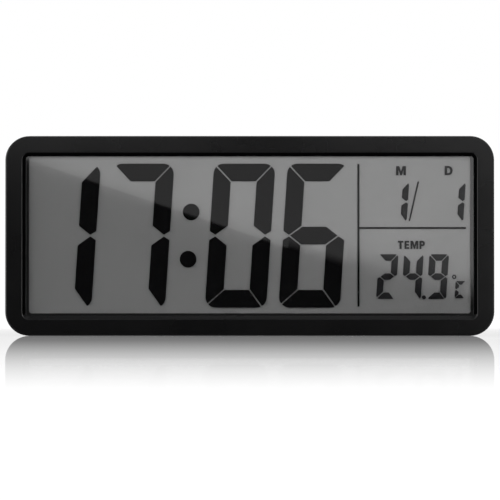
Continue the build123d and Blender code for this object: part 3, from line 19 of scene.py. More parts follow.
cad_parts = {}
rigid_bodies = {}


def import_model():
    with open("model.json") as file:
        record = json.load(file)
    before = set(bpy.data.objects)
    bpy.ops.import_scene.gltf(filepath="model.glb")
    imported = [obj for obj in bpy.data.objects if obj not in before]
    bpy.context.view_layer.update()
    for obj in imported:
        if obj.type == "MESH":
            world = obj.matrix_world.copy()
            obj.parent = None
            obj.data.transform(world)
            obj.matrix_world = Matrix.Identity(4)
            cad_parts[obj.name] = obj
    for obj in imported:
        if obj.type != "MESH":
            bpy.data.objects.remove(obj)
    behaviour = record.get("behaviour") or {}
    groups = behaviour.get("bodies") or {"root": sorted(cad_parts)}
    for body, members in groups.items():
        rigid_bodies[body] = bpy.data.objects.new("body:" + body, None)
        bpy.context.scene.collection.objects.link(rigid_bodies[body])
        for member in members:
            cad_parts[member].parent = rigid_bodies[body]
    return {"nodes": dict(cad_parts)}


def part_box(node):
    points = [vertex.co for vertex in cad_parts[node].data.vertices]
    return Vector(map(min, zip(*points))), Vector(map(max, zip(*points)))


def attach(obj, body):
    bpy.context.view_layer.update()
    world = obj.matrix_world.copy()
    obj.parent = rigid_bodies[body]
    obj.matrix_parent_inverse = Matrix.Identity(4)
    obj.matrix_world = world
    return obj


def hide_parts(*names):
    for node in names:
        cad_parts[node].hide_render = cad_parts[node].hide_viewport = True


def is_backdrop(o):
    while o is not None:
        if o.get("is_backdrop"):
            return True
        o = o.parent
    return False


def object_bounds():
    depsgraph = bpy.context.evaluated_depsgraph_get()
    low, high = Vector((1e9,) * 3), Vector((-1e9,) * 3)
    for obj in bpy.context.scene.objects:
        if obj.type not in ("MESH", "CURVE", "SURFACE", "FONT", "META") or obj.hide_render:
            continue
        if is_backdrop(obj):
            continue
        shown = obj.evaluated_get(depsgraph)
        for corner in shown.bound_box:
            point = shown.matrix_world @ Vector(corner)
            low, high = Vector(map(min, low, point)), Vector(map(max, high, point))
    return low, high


LOG = logging.getLogger("wall_clock")

MM = 0.001
QUARTER_TURN = math.radians(90.0)
WELD_REACH = 0.0001 * MM  # distance under which points are one
LETTER_STEPS = 6  # in each curve of a letter
BOWL_STEPS = 12  # in a bold letter's round end
TURNED_SIDES = 48  # around a turned shape
CORNER_STEPS = 6  # in a slab's corner
EDGE_STEPS = 2  # in a slab's softened edge
SHARP = math.radians(60.0)  # angle from which an edge is softened

Colour = tuple[float, float, float]
Triple = tuple[float, float, float]
Pair = tuple[float, float]
Feeds = dict[str | int, object]
Material = bpy.types.Material
Mesh = bpy.types.Mesh
Piece = bpy.types.Object
Socket = bpy.types.NodeSocket

WHITE: Colour = (1.0, 1.0, 1.0)
UNIT: Pair = (0.0, 1.0)
EVEN: Triple = (1.0, 1.0, 1.0)
BUTTON_WORDS = {"mode": "MODE", "set": "SET", "up": "+", "down": "-", "alarm": "ALARM"}


class Body(Enum):
    """Bodies of the frame that new pieces ride on."""

    CASE = "case"
    STAND = "stand"
    DOOR = "battery_door"


class Slot(Enum):
    """Material slots of the record."""

    CASE = "case_plastic"
    INK = "segment_dye"
    CELL = "cell_jacket"
    RUBBER = "pad_rubber"
    PLATE = "reflector_film"
    RIBBON = "ribbon_film"


class Facing(Enum):
    """Side of the clock that flat lettering faces."""

    FRONT = 0.0
    BACK = math.pi


class Skin(IntEnum):
    """Finishes of a dry cell, in the order of its faces' indices."""

    JACKET = 0
    METAL = 1
    SEAL = 2


def grey(level: float) -> Colour:
    """Neutral colour of one level."""
    return level, level, level


class TreeBench:
    """Lays nodes in one tree and joins their sockets."""

    PREFIX = ""  # start of the names of its types of nodes

    def __init__(self, tree: bpy.types.NodeTree) -> None:
        """Takes the tree to lay nodes in."""
        self.tree = tree

    def add(self, kind: str, inputs: Feeds | None = None, **settings: object) -> bpy.types.Node:
        """Adds a node and feeds its inputs.

        Args:
            kind: Blender's name for the type of node, without its prefix.
            inputs: constant or socket for each input, by name or number.
            settings: properties to set on the node.

        Returns:
            The new node.
        """
        node = self.tree.nodes.new(self.PREFIX + kind)
        for key, value in settings.items():
            setattr(node, key, value)
        for key, value in (inputs or {}).items():
            socket = node.inputs[key]
            if isinstance(value, bpy.types.NodeSocket):
                self.tree.links.new(value, socket)
            else:
                socket.default_value = (*value, 1.0) if socket.type == "RGBA" else value
        return node

    def tap(self, kind: str, inputs: Feeds | None = None, out: str | int = 0, **settings: object) -> Socket:
        """Adds a node as add does, and gives back one of its outputs."""
        return self.add(kind, inputs, **settings).outputs[out]


class NodeBench(TreeBench):
    """Bench for the tree of a material or of the world."""

    PREFIX = "ShaderNode"
    CLOUD_SPAN = (0.3, 0.7)  # values that nearly all of a noise lies between
    MIX_COLOURS = (6, 7)  # numbers of a mix node's colour inputs
    MIX_RESULT = 2  # number of its colour output

    def __init__(self, owner: bpy.types.Material | bpy.types.World) -> None:
        """Empties the tree of its owner.

        Args:
            owner: material or world.
        """
        owner.use_nodes = True
        super().__init__(owner.node_tree)
        self.owner = owner
        self.tree.nodes.clear()
        self.coordinates = self.add("TexCoord").outputs

    @classmethod
    def named(cls, name: str) -> "NodeBench":
        """Bench for a new material of this name."""
        return cls(bpy.data.materials.new(name))

    def combine(self, operation: str, first: Socket, second: Socket | float, clamp: bool = False) -> Socket:
        """Works out one value from two, kept from 0 to 1 where it is clamped."""
        return self.tap("Math", {0: first, 1: second}, operation=operation, use_clamp=clamp)

    def ranged(self, value: Socket, source: Pair, target: Pair, smooth: bool = False) -> Socket:
        """Maps one range to another.

        Args:
            value: value to map.
            source: start and end of its range.
            target: results at that start and end.
            smooth: whether it is eased at both ends.

        Returns:
            Socket with the mapped value.
        """
        ends = dict(zip(("From Min", "From Max", "To Min", "To Max"), (*source, *target)))
        kind = "SMOOTHSTEP" if smooth else "LINEAR"
        return self.tap("MapRange", {"Value": value, **ends}, interpolation_type=kind)

    def mixed(self, share: Socket, first: Socket, second: Socket) -> Socket:
        """Two shaders mixed by the share of the second."""
        return self.tap("MixShader", {0: share, 1: first, 2: second})

    def blend(self, share: Socket, *colours: Colour) -> Socket:
        """Two colours mixed by the share of the second."""
        feeds = {0: share, **dict(zip(self.MIX_COLOURS, colours))}
        return self.tap("Mix", feeds, self.MIX_RESULT, data_type="RGBA")

    def noise(self, size: float, detail: float = 2.0, stretch: Triple = EVEN) -> Socket:
        """Cloudy pattern about 0.5, in the piece's own coordinates.

        Args:
            size: width of one cloud.
            detail: how many finer layers are added.
            stretch: factor along each axis, smaller for longer clouds.

        Returns:
            Socket with the pattern.
        """
        place = self.tap("Mapping", {"Vector": self.coordinates["Object"], "Scale": stretch})
        return self.tap("TexNoise", {"Vector": place, "Scale": 1.0 / size, "Detail": detail})

    def between(self, cloud: Socket, low: float = 0.0, high: float = 1.0) -> Socket:
        """Maps a cloudy pattern to the range from low to high."""
        return self.ranged(cloud, self.CLOUD_SPAN, (low, high))

    def close(self, shader: Socket) -> Material:
        """Ends the tree of a material.

        Args:
            shader: finished shader.

        Returns:
            The material, which is no lamp even where it glows.
        """
        self.owner.cycles.emission_sampling = "NONE"
        self.add("OutputMaterial", {"Surface": shader})
        return self.owner


@dataclass(frozen=True)
class Finish(ABC):
    """A named finish that makes one material."""

    name: str

    @abstractmethod
    def material(self) -> Material:
        """Builds the finish's material."""


@dataclass(frozen=True)
class Opaque(Finish):
    """Opaque finish: a slow pattern mixes two colours, and a fine one bends the surface."""

    FLUSH = 1.18  # factor on the colour for the second one where none is named

    colour: Colour
    roughness: float
    specular: float = 0.5  # 0.5 for a bare polymer
    grain: float = 0.5 * MM  # width of one grain
    depth: float = 0.012 * MM  # its depth
    show: float = 0.6  # share of it that shows
    stretch: Triple = EVEN  # factor along each axis, smaller for longer grains
    patch: float = 35.0 * MM  # width of the slow pattern
    detail: float = 3.0  # finer layers in it
    other: Colour | None = None  # second colour
    metallic: float = 0.0
    swing: float = 0.12  # share by which the roughness strays
    slow_gloss: bool = False  # whether it strays with the slow pattern, not with the fine one

    def slow(self, bench: NodeBench) -> Socket:
        """Pattern from 0 to 1 by which the second colour is mixed in."""
        return bench.between(bench.noise(self.patch, self.detail))

    def fine(self, bench: NodeBench) -> Socket:
        """Pattern of the relief."""
        return bench.noise(self.grain, stretch=self.stretch)

    def material(self) -> Material:
        """Builds the finish.

        Returns:
            The material.
        """
        bench = NodeBench.named(self.name)
        slow = self.slow(bench)
        fine = self.fine(bench)
        other = self.other or tuple(self.FLUSH * level for level in self.colour)
        stray = self.swing * self.roughness
        span = (self.roughness - stray, self.roughness + stray)
        return bench.close(bench.tap("BsdfPrincipled", {
            "Base Color": bench.blend(slow, self.colour, other),
            "Metallic": self.metallic,
            "Roughness": bench.ranged(slow, UNIT, span) if self.slow_gloss else bench.between(fine, *span),
            "Specular IOR Level": self.specular,
            "Normal": bench.tap("Bump", {"Height": fine, "Distance": self.depth, "Strength": self.show}),
        }))


@dataclass(frozen=True)
class MouldedPlastic(Opaque):
    """Injection-moulded plastic with the fine grain of an eroded mould."""

    slow_gloss: bool = True


@dataclass(frozen=True)
class FrostedFoil(Opaque):
    """Frosted silver film: part of its light comes back as from a dull mirror."""

    specular: float = 0.0
    grain: float = 0.25 * MM
    depth: float = 0.002 * MM
    show: float = 0.3
    patch: float = 50.0 * MM
    detail: float = 2.0
    swing: float = 0.1


@dataclass(frozen=True)
class PlatedMetal(Opaque):
    """Plated or drawn metal with dulled patches and the faint lines of its rolling."""

    grain: float = 0.4 * MM
    depth: float = 0.004 * MM
    show: float = 0.4
    stretch: Triple = (0.15, 1.0, 1.0)
    patch: float = 6.0 * MM
    metallic: float = 1.0
    swing: float = 0.25


@dataclass(frozen=True)
class BoardLacquer(Opaque):
    """Lacquer over etched copper, with its tracks showing as paler, raised bands."""

    depth: float = 0.03 * MM
    show: float = 0.5
    swing: float = 0.0
    pitch: float = 2.54 * MM  # distance between tracks
    run: float = 9.0  # length of a track, in pitches
    width: float = 0.18  # its width, in pitches
    soft: float = 0.1  # softness of its edge

    def slow(self, bench: NodeBench) -> Socket:
        """Pattern that is 1 on the tracks.

        Args:
            bench: tree to add it to.

        Returns:
            Socket with the pattern.
        """
        flat = bench.tap("Mapping", {
            "Vector": bench.coordinates["Object"], "Rotation": (QUARTER_TURN, 0.0, 0.0)})
        return bench.tap("TexBrick", {
            "Vector": flat, "Scale": 1.0, "Brick Width": self.run * self.pitch, "Row Height": self.pitch,
            "Mortar Size": self.width * self.pitch, "Mortar Smooth": self.soft}, "Fac")

    def fine(self, bench: NodeBench) -> Socket:
        """The same pattern, since the tracks stand out."""
        return self.slow(bench)


@dataclass(frozen=True)
class JacketBand(Opaque):
    """Printed shrink jacket of a dry cell, with long creases and a bright band at its far end."""

    grain: float = 3.0 * MM
    depth: float = 0.02 * MM
    show: float = 0.25
    stretch: Triple = (0.4, 1.0, 1.0)
    swing: float = 3.0 / 14.0
    split: float = 0.0  # X of the band's edge
    band_above: bool = True  # whether the band lies at larger X

    def slow(self, bench: NodeBench) -> Socket:
        """Pattern that is 1 on the band."""
        along = bench.tap("SeparateXYZ", {0: bench.coordinates["Object"]}, "X")
        return bench.combine("GREATER_THAN" if self.band_above else "LESS_THAN", along, self.split)


@dataclass(frozen=True)
class ClearLens(Finish):
    """Clear acrylic that mirrors on its outer side only."""

    tint: Colour = grey(0.985)  # colour of light that has passed through
    index: float = 1.49  # refractive index
    gloss: Pair = (0.004, 0.012)  # roughness where the polish is best and worst
    faces: float = 1.6  # faces that mirror, with the lens's own back and the film behind it
    polish: float = 60.0 * MM  # width of the polish's unevenness

    def material(self) -> Material:
        """Builds the lens.

        Returns:
            The material.
        """
        bench = NodeBench.named(self.name)
        clear = bench.tap("BsdfTransparent", {"Color": self.tint})
        rough = bench.between(bench.noise(self.polish), *self.gloss)
        shine = bench.tap("BsdfGlossy", {"Color": WHITE, "Roughness": rough})
        inner = bench.tap("NewGeometry", out="Backfacing")
        faces = bench.ranged(inner, UNIT, (self.faces, 0.0))
        share = bench.combine("MULTIPLY", bench.tap("Fresnel", {"IOR": self.index}), faces, clamp=True)
        return bench.close(bench.mixed(share, clear, shine))


@dataclass(frozen=True)
class ClearSheet(Finish):
    """Bonded clear layer inside the display, which only tints."""

    tint: Colour  # colour of light that has passed one face
    tint_far: Colour  # the same where it is a little denser
    patch: float = 80.0 * MM  # width of that variation

    def material(self) -> Material:
        """Builds the sheet.

        Returns:
            The material.
        """
        bench = NodeBench.named(self.name)
        cloud = bench.between(bench.noise(self.patch, detail=1.0))
        colour = bench.blend(cloud, self.tint, self.tint_far)
        return bench.close(bench.tap("BsdfTransparent", {"Color": colour}))


FINISHES: tuple[Finish, ...] = (
    MouldedPlastic("bezel_black", (0.0012, 0.0012, 0.0013), 0.28, 0.07, 0.5 * MM, 0.003 * MM),
    # darker, unshiny copy of the bezel plastic for the window's bevel: painted shade
    MouldedPlastic("bevel_matt", grey(0.0008), 0.6, 0.0),
    # shinier copy of the bezel plastic for rounded edges: painted highlight
    MouldedPlastic("edge_black", (0.0012, 0.0012, 0.0013), 0.24, 0.25, 0.5 * MM, 0.003 * MM),
    MouldedPlastic("shell_black", (0.0080, 0.0080, 0.0084), 0.48, 0.35, 0.9 * MM, 0.012 * MM),
    MouldedPlastic("button_grey", (0.020, 0.020, 0.021), 0.38, 0.40, 0.4 * MM, 0.01 * MM),
    MouldedPlastic("holder_black", grey(0.006), 0.5, 0.3),
    MouldedPlastic("stem_black", grey(0.02), 0.35, 0.4),
    MouldedPlastic("chip_black", grey(0.008), 0.3, 0.5, 0.8 * MM, 0.03 * MM),
    MouldedPlastic("buzzer_black", grey(0.012), 0.45, 0.4),
    MouldedPlastic("sensor_resin", (0.006, 0.006, 0.007), 0.2, 0.5),
    MouldedPlastic("seal_resin", (0.30, 0.30, 0.28), 0.4, 0.4),
    MouldedPlastic("ribbon_amber", (0.32, 0.13, 0.02), 0.28, 0.5),
    MouldedPlastic("lead_red", (0.45, 0.012, 0.010), 0.4, 0.4, 0.3 * MM, 0.01 * MM),
    MouldedPlastic("lead_black", grey(0.012), 0.4, 0.4, 0.3 * MM, 0.01 * MM),
    MouldedPlastic("pad_rubber", grey(0.018), 0.75, 0.25, 0.25 * MM, 0.03 * MM),
    MouldedPlastic("print_white", (0.52, 0.52, 0.51), 0.6, 0.3, 0.2 * MM, 0.005 * MM),
    MouldedPlastic("segment_dye", (0.0024, 0.0024, 0.0026), 0.5, 0.0, 0.4 * MM, 0.001 * MM),
    MouldedPlastic("legend_dye", (0.014, 0.014, 0.015), 0.5, 0.0, 0.4 * MM, 0.001 * MM),
    FrostedFoil("mask_film", grey(0.20), 0.02, other=grey(0.19), metallic=0.97),
    FrostedFoil("reflector_film", grey(0.57), 0.045, other=grey(0.56), metallic=0.70),
    FrostedFoil("blank_plate", (0.40, 0.40, 0.39), 0.4, other=(0.36, 0.36, 0.355), metallic=0.7),
    PlatedMetal("zinc_steel", (0.55, 0.55, 0.54), 0.28, other=grey(0.42)),
    PlatedMetal("nickel_steel", (0.66, 0.64, 0.60), 0.2, other=(0.50, 0.48, 0.45)),
    PlatedMetal("ground_pin", grey(0.58), 0.18, other=grey(0.48)),
    PlatedMetal("crystal_can", (0.62, 0.61, 0.58), 0.22, other=(0.52, 0.51, 0.49)),
    PlatedMetal("solder_tin", (0.60, 0.60, 0.61), 0.25, other=(0.45, 0.45, 0.46)),
    BoardLacquer("board_lacquer", (0.006, 0.055, 0.022), 0.32, other=(0.014, 0.105, 0.042)),
    ClearLens("lens_acrylic"),
    ClearSheet("polariser_film", grey(0.96), grey(0.955)),
    ClearSheet("display_glass", grey(0.985), grey(0.98)),
)


def linked(made: Piece) -> Piece:
    """Puts a new object in the scene."""
    bpy.context.scene.collection.objects.link(made)
    return made


def new_piece(name: str, mesh: Mesh, *materials: Material) -> Piece:
    """Makes an object at the origin from a finished mesh.

    Args:
        name: name of the object and its mesh.
        mesh: mesh with its place in it.
        materials: finishes, in the order of the faces' indices.

    Returns:
        The object, linked to the scene.
    """
    mesh.name = name
    mesh.materials.clear()
    for material in materials:
        mesh.materials.append(material)
    return linked(bpy.data.objects.new(name, mesh))


def meshed(host: Piece) -> Mesh:
    """Plain mesh of an object as its curve or its modifiers make it.

    Args:
        host: object that isn't in the scene yet, which is used up with its data.

    Returns:
        The mesh.
    """
    linked(host)
    graph = bpy.context.evaluated_depsgraph_get()
    mesh = bpy.data.meshes.new_from_object(host.evaluated_get(graph))
    host.modifiers.clear()
    bpy.data.batch_remove([host, host.data])
    return mesh


def to_mesh(shape: bmesh.types.BMesh) -> Mesh:
    """Turns a bmesh into a mesh.

    Args:
        shape: bmesh, which is freed.

    Returns:
        The mesh.
    """
    mesh = bpy.data.meshes.new("mesh")
    shape.to_mesh(mesh)
    shape.free()
    return mesh


def joined(meshes: list[Mesh]) -> Mesh:
    """Several meshes as one, with their doubles merged.

    Args:
        meshes: meshes to join, which are used up.

    Returns:
        The joined mesh.
    """
    shape = bmesh.new()
    for mesh in meshes:
        shape.from_mesh(mesh)
        bpy.data.meshes.remove(mesh)
    bmesh.ops.remove_doubles(shape, verts=shape.verts, dist=WELD_REACH)
    return to_mesh(shape)


def printed(text: str, weight: float) -> bpy.types.Curve:
    """Curve of a text in the plain face.

    Args:
        text: letters to set.
        weight: how much bolder than that face, as a share of its size.

    Returns:
        The curve.
    """
    curve = bpy.data.curves.new(text, "FONT")
    curve.body = text
    curve.offset = weight
    curve.resolution_u = LETTER_STEPS
    return curve


def lettering(curve: bpy.types.Curve, size: Pair, place: Vector, facing: Facing, thickness: float) -> Mesh:
    """Mesh of flat letters, centred on its place.

    Args:
        curve: curve of the letters, which is used up.
        size: width and height, one of which is 0 where the letters keep their proportions.
        place: centre of the letters.
        facing: side that they face.
        thickness: depth of the layer.

    Returns:
        Mesh with its place in it.
    """
    curve.extrude = 0.5
    mesh = meshed(bpy.data.objects.new(curve.name, curve))
    axes = list(zip(*(vertex.co for vertex in mesh.vertices)))
    low = Vector([min(axis) for axis in axes])
    high = Vector([max(axis) for axis in axes])
    wide, tall = (wanted / extent for wanted, extent in zip(size, high - low))
    mesh.transform(Matrix.Translation(-(low + high) / 2.0))
    mesh.transform(Matrix.Diagonal((wide or tall, tall or wide, thickness, 1.0)))
    turn = Euler((QUARTER_TURN, 0.0, facing.value)).to_matrix().to_4x4()
    mesh.transform(Matrix.Translation(place) @ turn)
    return mesh


def slab(low: Vector, high: Vector, corner: float, edge: float, flat_axis: int) -> Mesh:
    """Plate with rounded corners and softened edges.

    Args:
        low: lowest corner.
        high: highest corner.
        corner: radius of the corners seen along the flat axis.
        edge: radius of the edges of its two faces.
        flat_axis: axis of the plate's thickness.

    Returns:
        The plate.
    """
    def upright(line: bmesh.types.BMEdge) -> bool:
        """Whether an edge runs through the plate."""
        return abs((line.verts[0].co - line.verts[1].co)[flat_axis]) > (high - low)[flat_axis] / 2.0

    shape = bmesh.new()
    matrix = Matrix.Translation((low + high) / 2.0) @ Matrix.Diagonal((*(high - low), 1.0))
    bmesh.ops.create_cube(shape, size=1.0, matrix=matrix)
    corners = [line for line in shape.edges if upright(line)]
    bmesh.ops.bevel(shape, geom=corners, offset=corner, segments=CORNER_STEPS, affect="EDGES", profile=0.5)
    rims = [line for line in shape.edges if not upright(line) and line.calc_face_angle(0.0) > SHARP]
    bmesh.ops.bevel(shape, geom=rims, offset=edge, segments=EDGE_STEPS, affect="EDGES", profile=0.5)
    bmesh.ops.recalc_face_normals(shape, faces=shape.faces)
    return to_mesh(shape)


def turned(profile: list[tuple[float, float, int]], start: Vector, along: float) -> Mesh:
    """Shape turned about an axis parallel to X.

    Args:
        profile: distance along the axis, radius, and the finish's index of the stretch that starts there.
        start: point on the axis where the distances begin.
        along: direction in X that they grow in, 1 or -1.

    Returns:
        Closed mesh with its place in it.
    """
    shape = bmesh.new()
    angles = [2.0 * math.pi * step / TURNED_SIDES for step in range(TURNED_SIDES)]
    spokes = [Vector((0.0, math.cos(angle), math.sin(angle))) for angle in angles]
    rings = []
    for distance, radius, _ in profile:
        centre = start + Vector((along * distance, 0.0, 0.0))
        around = spokes if radius else spokes[:1]
        rings.append([shape.verts.new(centre + radius * spoke) for spoke in around])
    for first, second, (_, _, finish) in zip(rings, rings[1:], profile):
        for step in range(TURNED_SIDES):
            after = (step + 1) % TURNED_SIDES
            ends = ((first, step), (first, after), (second, after), (second, step))
            face = shape.faces.new(list(dict.fromkeys(ring[at % len(ring)] for ring, at in ends)))
            face.material_index = finish
            face.smooth = True
    bmesh.ops.recalc_face_normals(shape, faces=shape.faces)
    return to_mesh(shape)


@dataclass(frozen=True)
class Glyph:
    """Bold capital letter, drawn for a cap height of 1."""

    LEVEL_SHARE = 0.85  # width of a level stroke as a share of the upright stroke's

    width: float
    outline: tuple[Pair, ...]  # corners of its outer edge
    bowl: tuple[float, float, float, float] | None = None  # middle and half sizes of a round right end
    stroke: float = 0.2  # width of its upright stroke

    def edges(self) -> list[list[Pair]]:
        """Closed outlines of the letter.

        Returns:
            The outer edge, and the counter where there is one.
        """
        if self.bowl is None:
            return [list(self.outline)]
        x, y, wide, high = self.bowl
        outer = [*self.outline, *self._round(x, y, wide, high)]
        inner_high = high - self.LEVEL_SHARE * self.stroke
        inner = self._round(x, y, wide - self.stroke, inner_high)
        return [outer, [(self.stroke, y + inner_high), *inner, (self.stroke, y - inner_high)]]

    @staticmethod
    def _round(x: float, y: float, wide: float, high: float) -> list[Pair]:
        """Half an ellipse, by its middle and half sizes, from its top round the right to its bottom."""
        turns = [math.pi * (0.5 - step / BOWL_STEPS) for step in range(BOWL_STEPS + 1)]
        return [(x + wide * math.cos(turn), y + high * math.sin(turn)) for turn in turns]


GLYPHS: dict[str, Glyph] = {
    "M": Glyph(1.12, (
        (0.0, 0.0), (0.0, 1.0), (0.37, 1.0), (0.56, 0.44), (0.75, 1.0), (1.12, 1.0), (1.12, 0.0),
        (0.84, 0.0), (0.84, 0.60), (0.65, 0.0), (0.47, 0.0), (0.28, 0.60), (0.28, 0.0))),
    "D": Glyph(0.88, ((0.0, 0.0), (0.0, 1.0)), (0.40, 0.5, 0.48, 0.5), 0.27),
    "T": Glyph(0.80, (
        (0.0, 1.0), (0.0, 0.78), (0.255, 0.78), (0.255, 0.0), (0.545, 0.0), (0.545, 0.78), (0.80, 0.78),
        (0.80, 1.0))),
    "E": Glyph(0.68, (
        (0.0, 0.0), (0.0, 1.0), (0.66, 1.0), (0.66, 0.79), (0.28, 0.79), (0.28, 0.61), (0.62, 0.61),
        (0.62, 0.41), (0.28, 0.41), (0.28, 0.21), (0.68, 0.21), (0.68, 0.0))),
    "P": Glyph(0.78, ((0.28, 0.34), (0.28, 0.0), (0.0, 0.0), (0.0, 1.0)), (0.44, 0.67, 0.34, 0.33), 0.28),
}


@dataclass(frozen=True)
class BoldWord:
    """Word in bold capitals, as the display's fixed legends have them."""

    text: str
    cap: float  # height of the letters
    width: float
    gap: float = 0.17  # between letters, as a share of the cap height

    def mesh(self, middle: Vector, thickness: float) -> Mesh:
        """Builds the word, facing the front.

        Args:
            middle: middle of the word.
            thickness: thickness of its layer.

        Returns:
            Mesh with its place in it.
        """
        curve = bpy.data.curves.new(self.text, "CURVE")
        curve.dimensions = "2D"
        curve.fill_mode = "BOTH"
        pen = 0.0
        for letter in self.text:
            glyph = GLYPHS[letter]
            for edge in glyph.edges():
                spline = curve.splines.new("POLY")
                spline.points.add(len(edge) - 1)
                for point, (x, y) in zip(spline.points, edge):
                    point.co = (pen + x, y, 0.0, 1.0)
                spline.use_cyclic_u = True
            pen += glyph.width + self.gap
        return joined([lettering(curve, (self.width, self.cap), middle, Facing.FRONT, thickness)])


class BarRows(TreeBench):
    """Geometry Nodes tree that repeats a small round bar in rows."""

    PREFIX = "GeometryNode"
    INPUTS = {
        "Geometry": "Geometry", "Bars": "Int", "Bar Step": "Vector", "Rows": "Int", "Row Step": "Vector",
        "Start": "Vector", "Bar Turn": "Rotation", "Bar Radius": "Float", "Bar Length": "Float",
        "Sides": "Int", "Material": "Material",
    }

    def __init__(self) -> None:
        """Builds the tree with its named inputs."""
        super().__init__(bpy.data.node_groups.new("bar_rows", "GeometryNodeTree"))
        for name, kind in self.INPUTS.items():
            self.tree.interface.new_socket(name=name, in_out="INPUT", socket_type=f"NodeSocket{kind}")
        self.tree.interface.new_socket(name="Geometry", in_out="OUTPUT", socket_type="NodeSocketGeometry")
        self._wire()

    def _wire(self) -> None:
        """Adds the nodes: a bar, a row of bars, rows of those, and the base mesh joined to them."""
        given = self.tree.nodes.new("NodeGroupInput").outputs
        bar = self.tap("MeshCylinder", {
            "Vertices": given["Sides"], "Radius": given["Bar Radius"], "Depth": given["Bar Length"]})
        spots = self.tap("MeshLine", {
            "Count": given["Bars"], "Start Location": given["Start"], "Offset": given["Bar Step"]})
        row = self.tap("InstanceOnPoints", {"Points": spots, "Instance": bar, "Rotation": given["Bar Turn"]})
        starts = self.tap("MeshLine", {"Count": given["Rows"], "Offset": given["Row Step"]})
        rows = self.tap("InstanceOnPoints", {"Points": starts, "Instance": row})
        both = self.tap("JoinGeometry", {"Geometry": rows})
        self.tree.links.new(given["Geometry"], both.node.inputs["Geometry"])
        real = self.tap("RealizeInstances", {"Geometry": both})
        dressed = self.tap("SetMaterial", {"Geometry": real, "Material": given["Material"]})
        self.tree.links.new(dressed, self.tree.nodes.new("NodeGroupOutput").inputs["Geometry"])

    def mesh(self, base: Mesh, material: Material, **sizes: object) -> Mesh:
        """Runs the tree on a base mesh.

        Args:
            base: mesh that the bars are added to, which is used up.
            material: finish.
            sizes: inputs of the tree that aren't 0, with underscores for spaces.

        Returns:
            The base and the bars as a plain mesh.
        """
        host = bpy.data.objects.new("host", base)
        modifier = host.modifiers.new("rows", "NODES")
        modifier.node_group = self.tree
        wanted = {key.replace("_", " "): value for key, value in sizes.items()}
        wanted["Material"] = material
        for socket in self.tree.interface.items_tree:
            if socket.in_out == "INPUT" and socket.name in wanted:
                modifier[socket.identifier] = wanted[socket.name]
        return meshed(host)


class Frame:
    """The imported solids."""

    def __init__(self) -> None:
        """Loads the frame and keeps the box of the solids."""
        self.nodes: dict[str, Piece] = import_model()["nodes"]
        self.cad_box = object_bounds()
        low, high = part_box("front_bezel")
        self.centre = Vector(((low.x + high.x) / 2.0, low.y, (low.z + high.z) / 2.0))


@dataclass
class Assembly(ABC):
    """Sub-assembly of the clock: nodes that it dresses, and what it adds to them."""

    WEARS: ClassVar[dict[str, tuple[str, ...]]] = {}  # nodes that get each finish as a whole

    frame: Frame
    finishes: dict[str, Material]  # materials by name
    bar_rows: BarRows

    def dress(self) -> None:
        """Gives the nodes their finishes."""
        for finish, names in self.WEARS.items():
            for name in names:
                slots = self.frame.nodes[name].data.materials
                slots.clear()
                slots.append(self.finishes[finish])
                LOG.info("dressed %s in %s", name, finish)

    @abstractmethod
    def build(self) -> None:
        """Adds what the solids don't have."""

    def add(self, name: str, mesh: Mesh, body: Body, slot: Slot, *finishes: str,
            stands_for: tuple[str, ...] = ()) -> None:
        """Makes a piece and sets it on its body.

        Args:
            name: name of the piece.
            mesh: mesh with its place in it.
            body: body that it rides on.
            slot: slot of the record; not used.
            finishes: names of its materials, in the order of the faces' indices.
            stands_for: nodes that it replaces.
        """
        piece = new_piece(name, mesh, *(self.finishes[finish] for finish in finishes))
        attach(piece, body.value)
        if stands_for:
            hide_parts(*stands_for)
        LOG.info("made %s with %d faces on %s", piece.name, len(piece.data.polygons), body.value)


@dataclass
class Case(Assembly):
    """Front bezel and rear shell."""

    WEARS = {"bezel_black": ("front_bezel",), "shell_black": ("rear_case",)}

    window: Pair = (172.0 * MM, 65.0 * MM)  # half width and half height of the window
    bevel: Pair = (0.45 * MM, 3.05 * MM)  # depths behind the front that its bevel lies between
    upward: float = 0.3  # part of a face's normal along an axis, from which it is turned that way
    sideways: float = 0.97  # Y of a face's normal, under which it belongs to the rounded outer edge

    def build(self) -> None:
        """Paints shade on bevel faces not facing up, and highlights on rounded edges not facing down."""
        node = self.frame.nodes["front_bezel"]
        for finish in ("bevel_matt", "edge_black"):
            node.data.materials.append(self.finishes[finish])
        for face in node.data.polygons:
            place = node.matrix_world @ face.center - self.frame.centre
            inside = abs(place.x) < self.window[0] and abs(place.z) < self.window[1]
            # bevel faces that don't face up get the darker copy of the plastic: painted shade
            if inside and self.bevel[0] < place.y < self.bevel[1] and face.normal.z < self.upward:
                face.material_index = 1
            # the window's side rims and outer rounded edges that don't face down get the shinier copy:
            # painted highlight
            rounded = place.y < self.bevel[1] and abs(face.normal.y) < self.sideways
            rim = inside and place.y < self.bevel[0] and abs(face.normal.x) > self.upward
            if rim or rounded and not inside and face.normal.z > -self.upward:
                face.material_index = 2


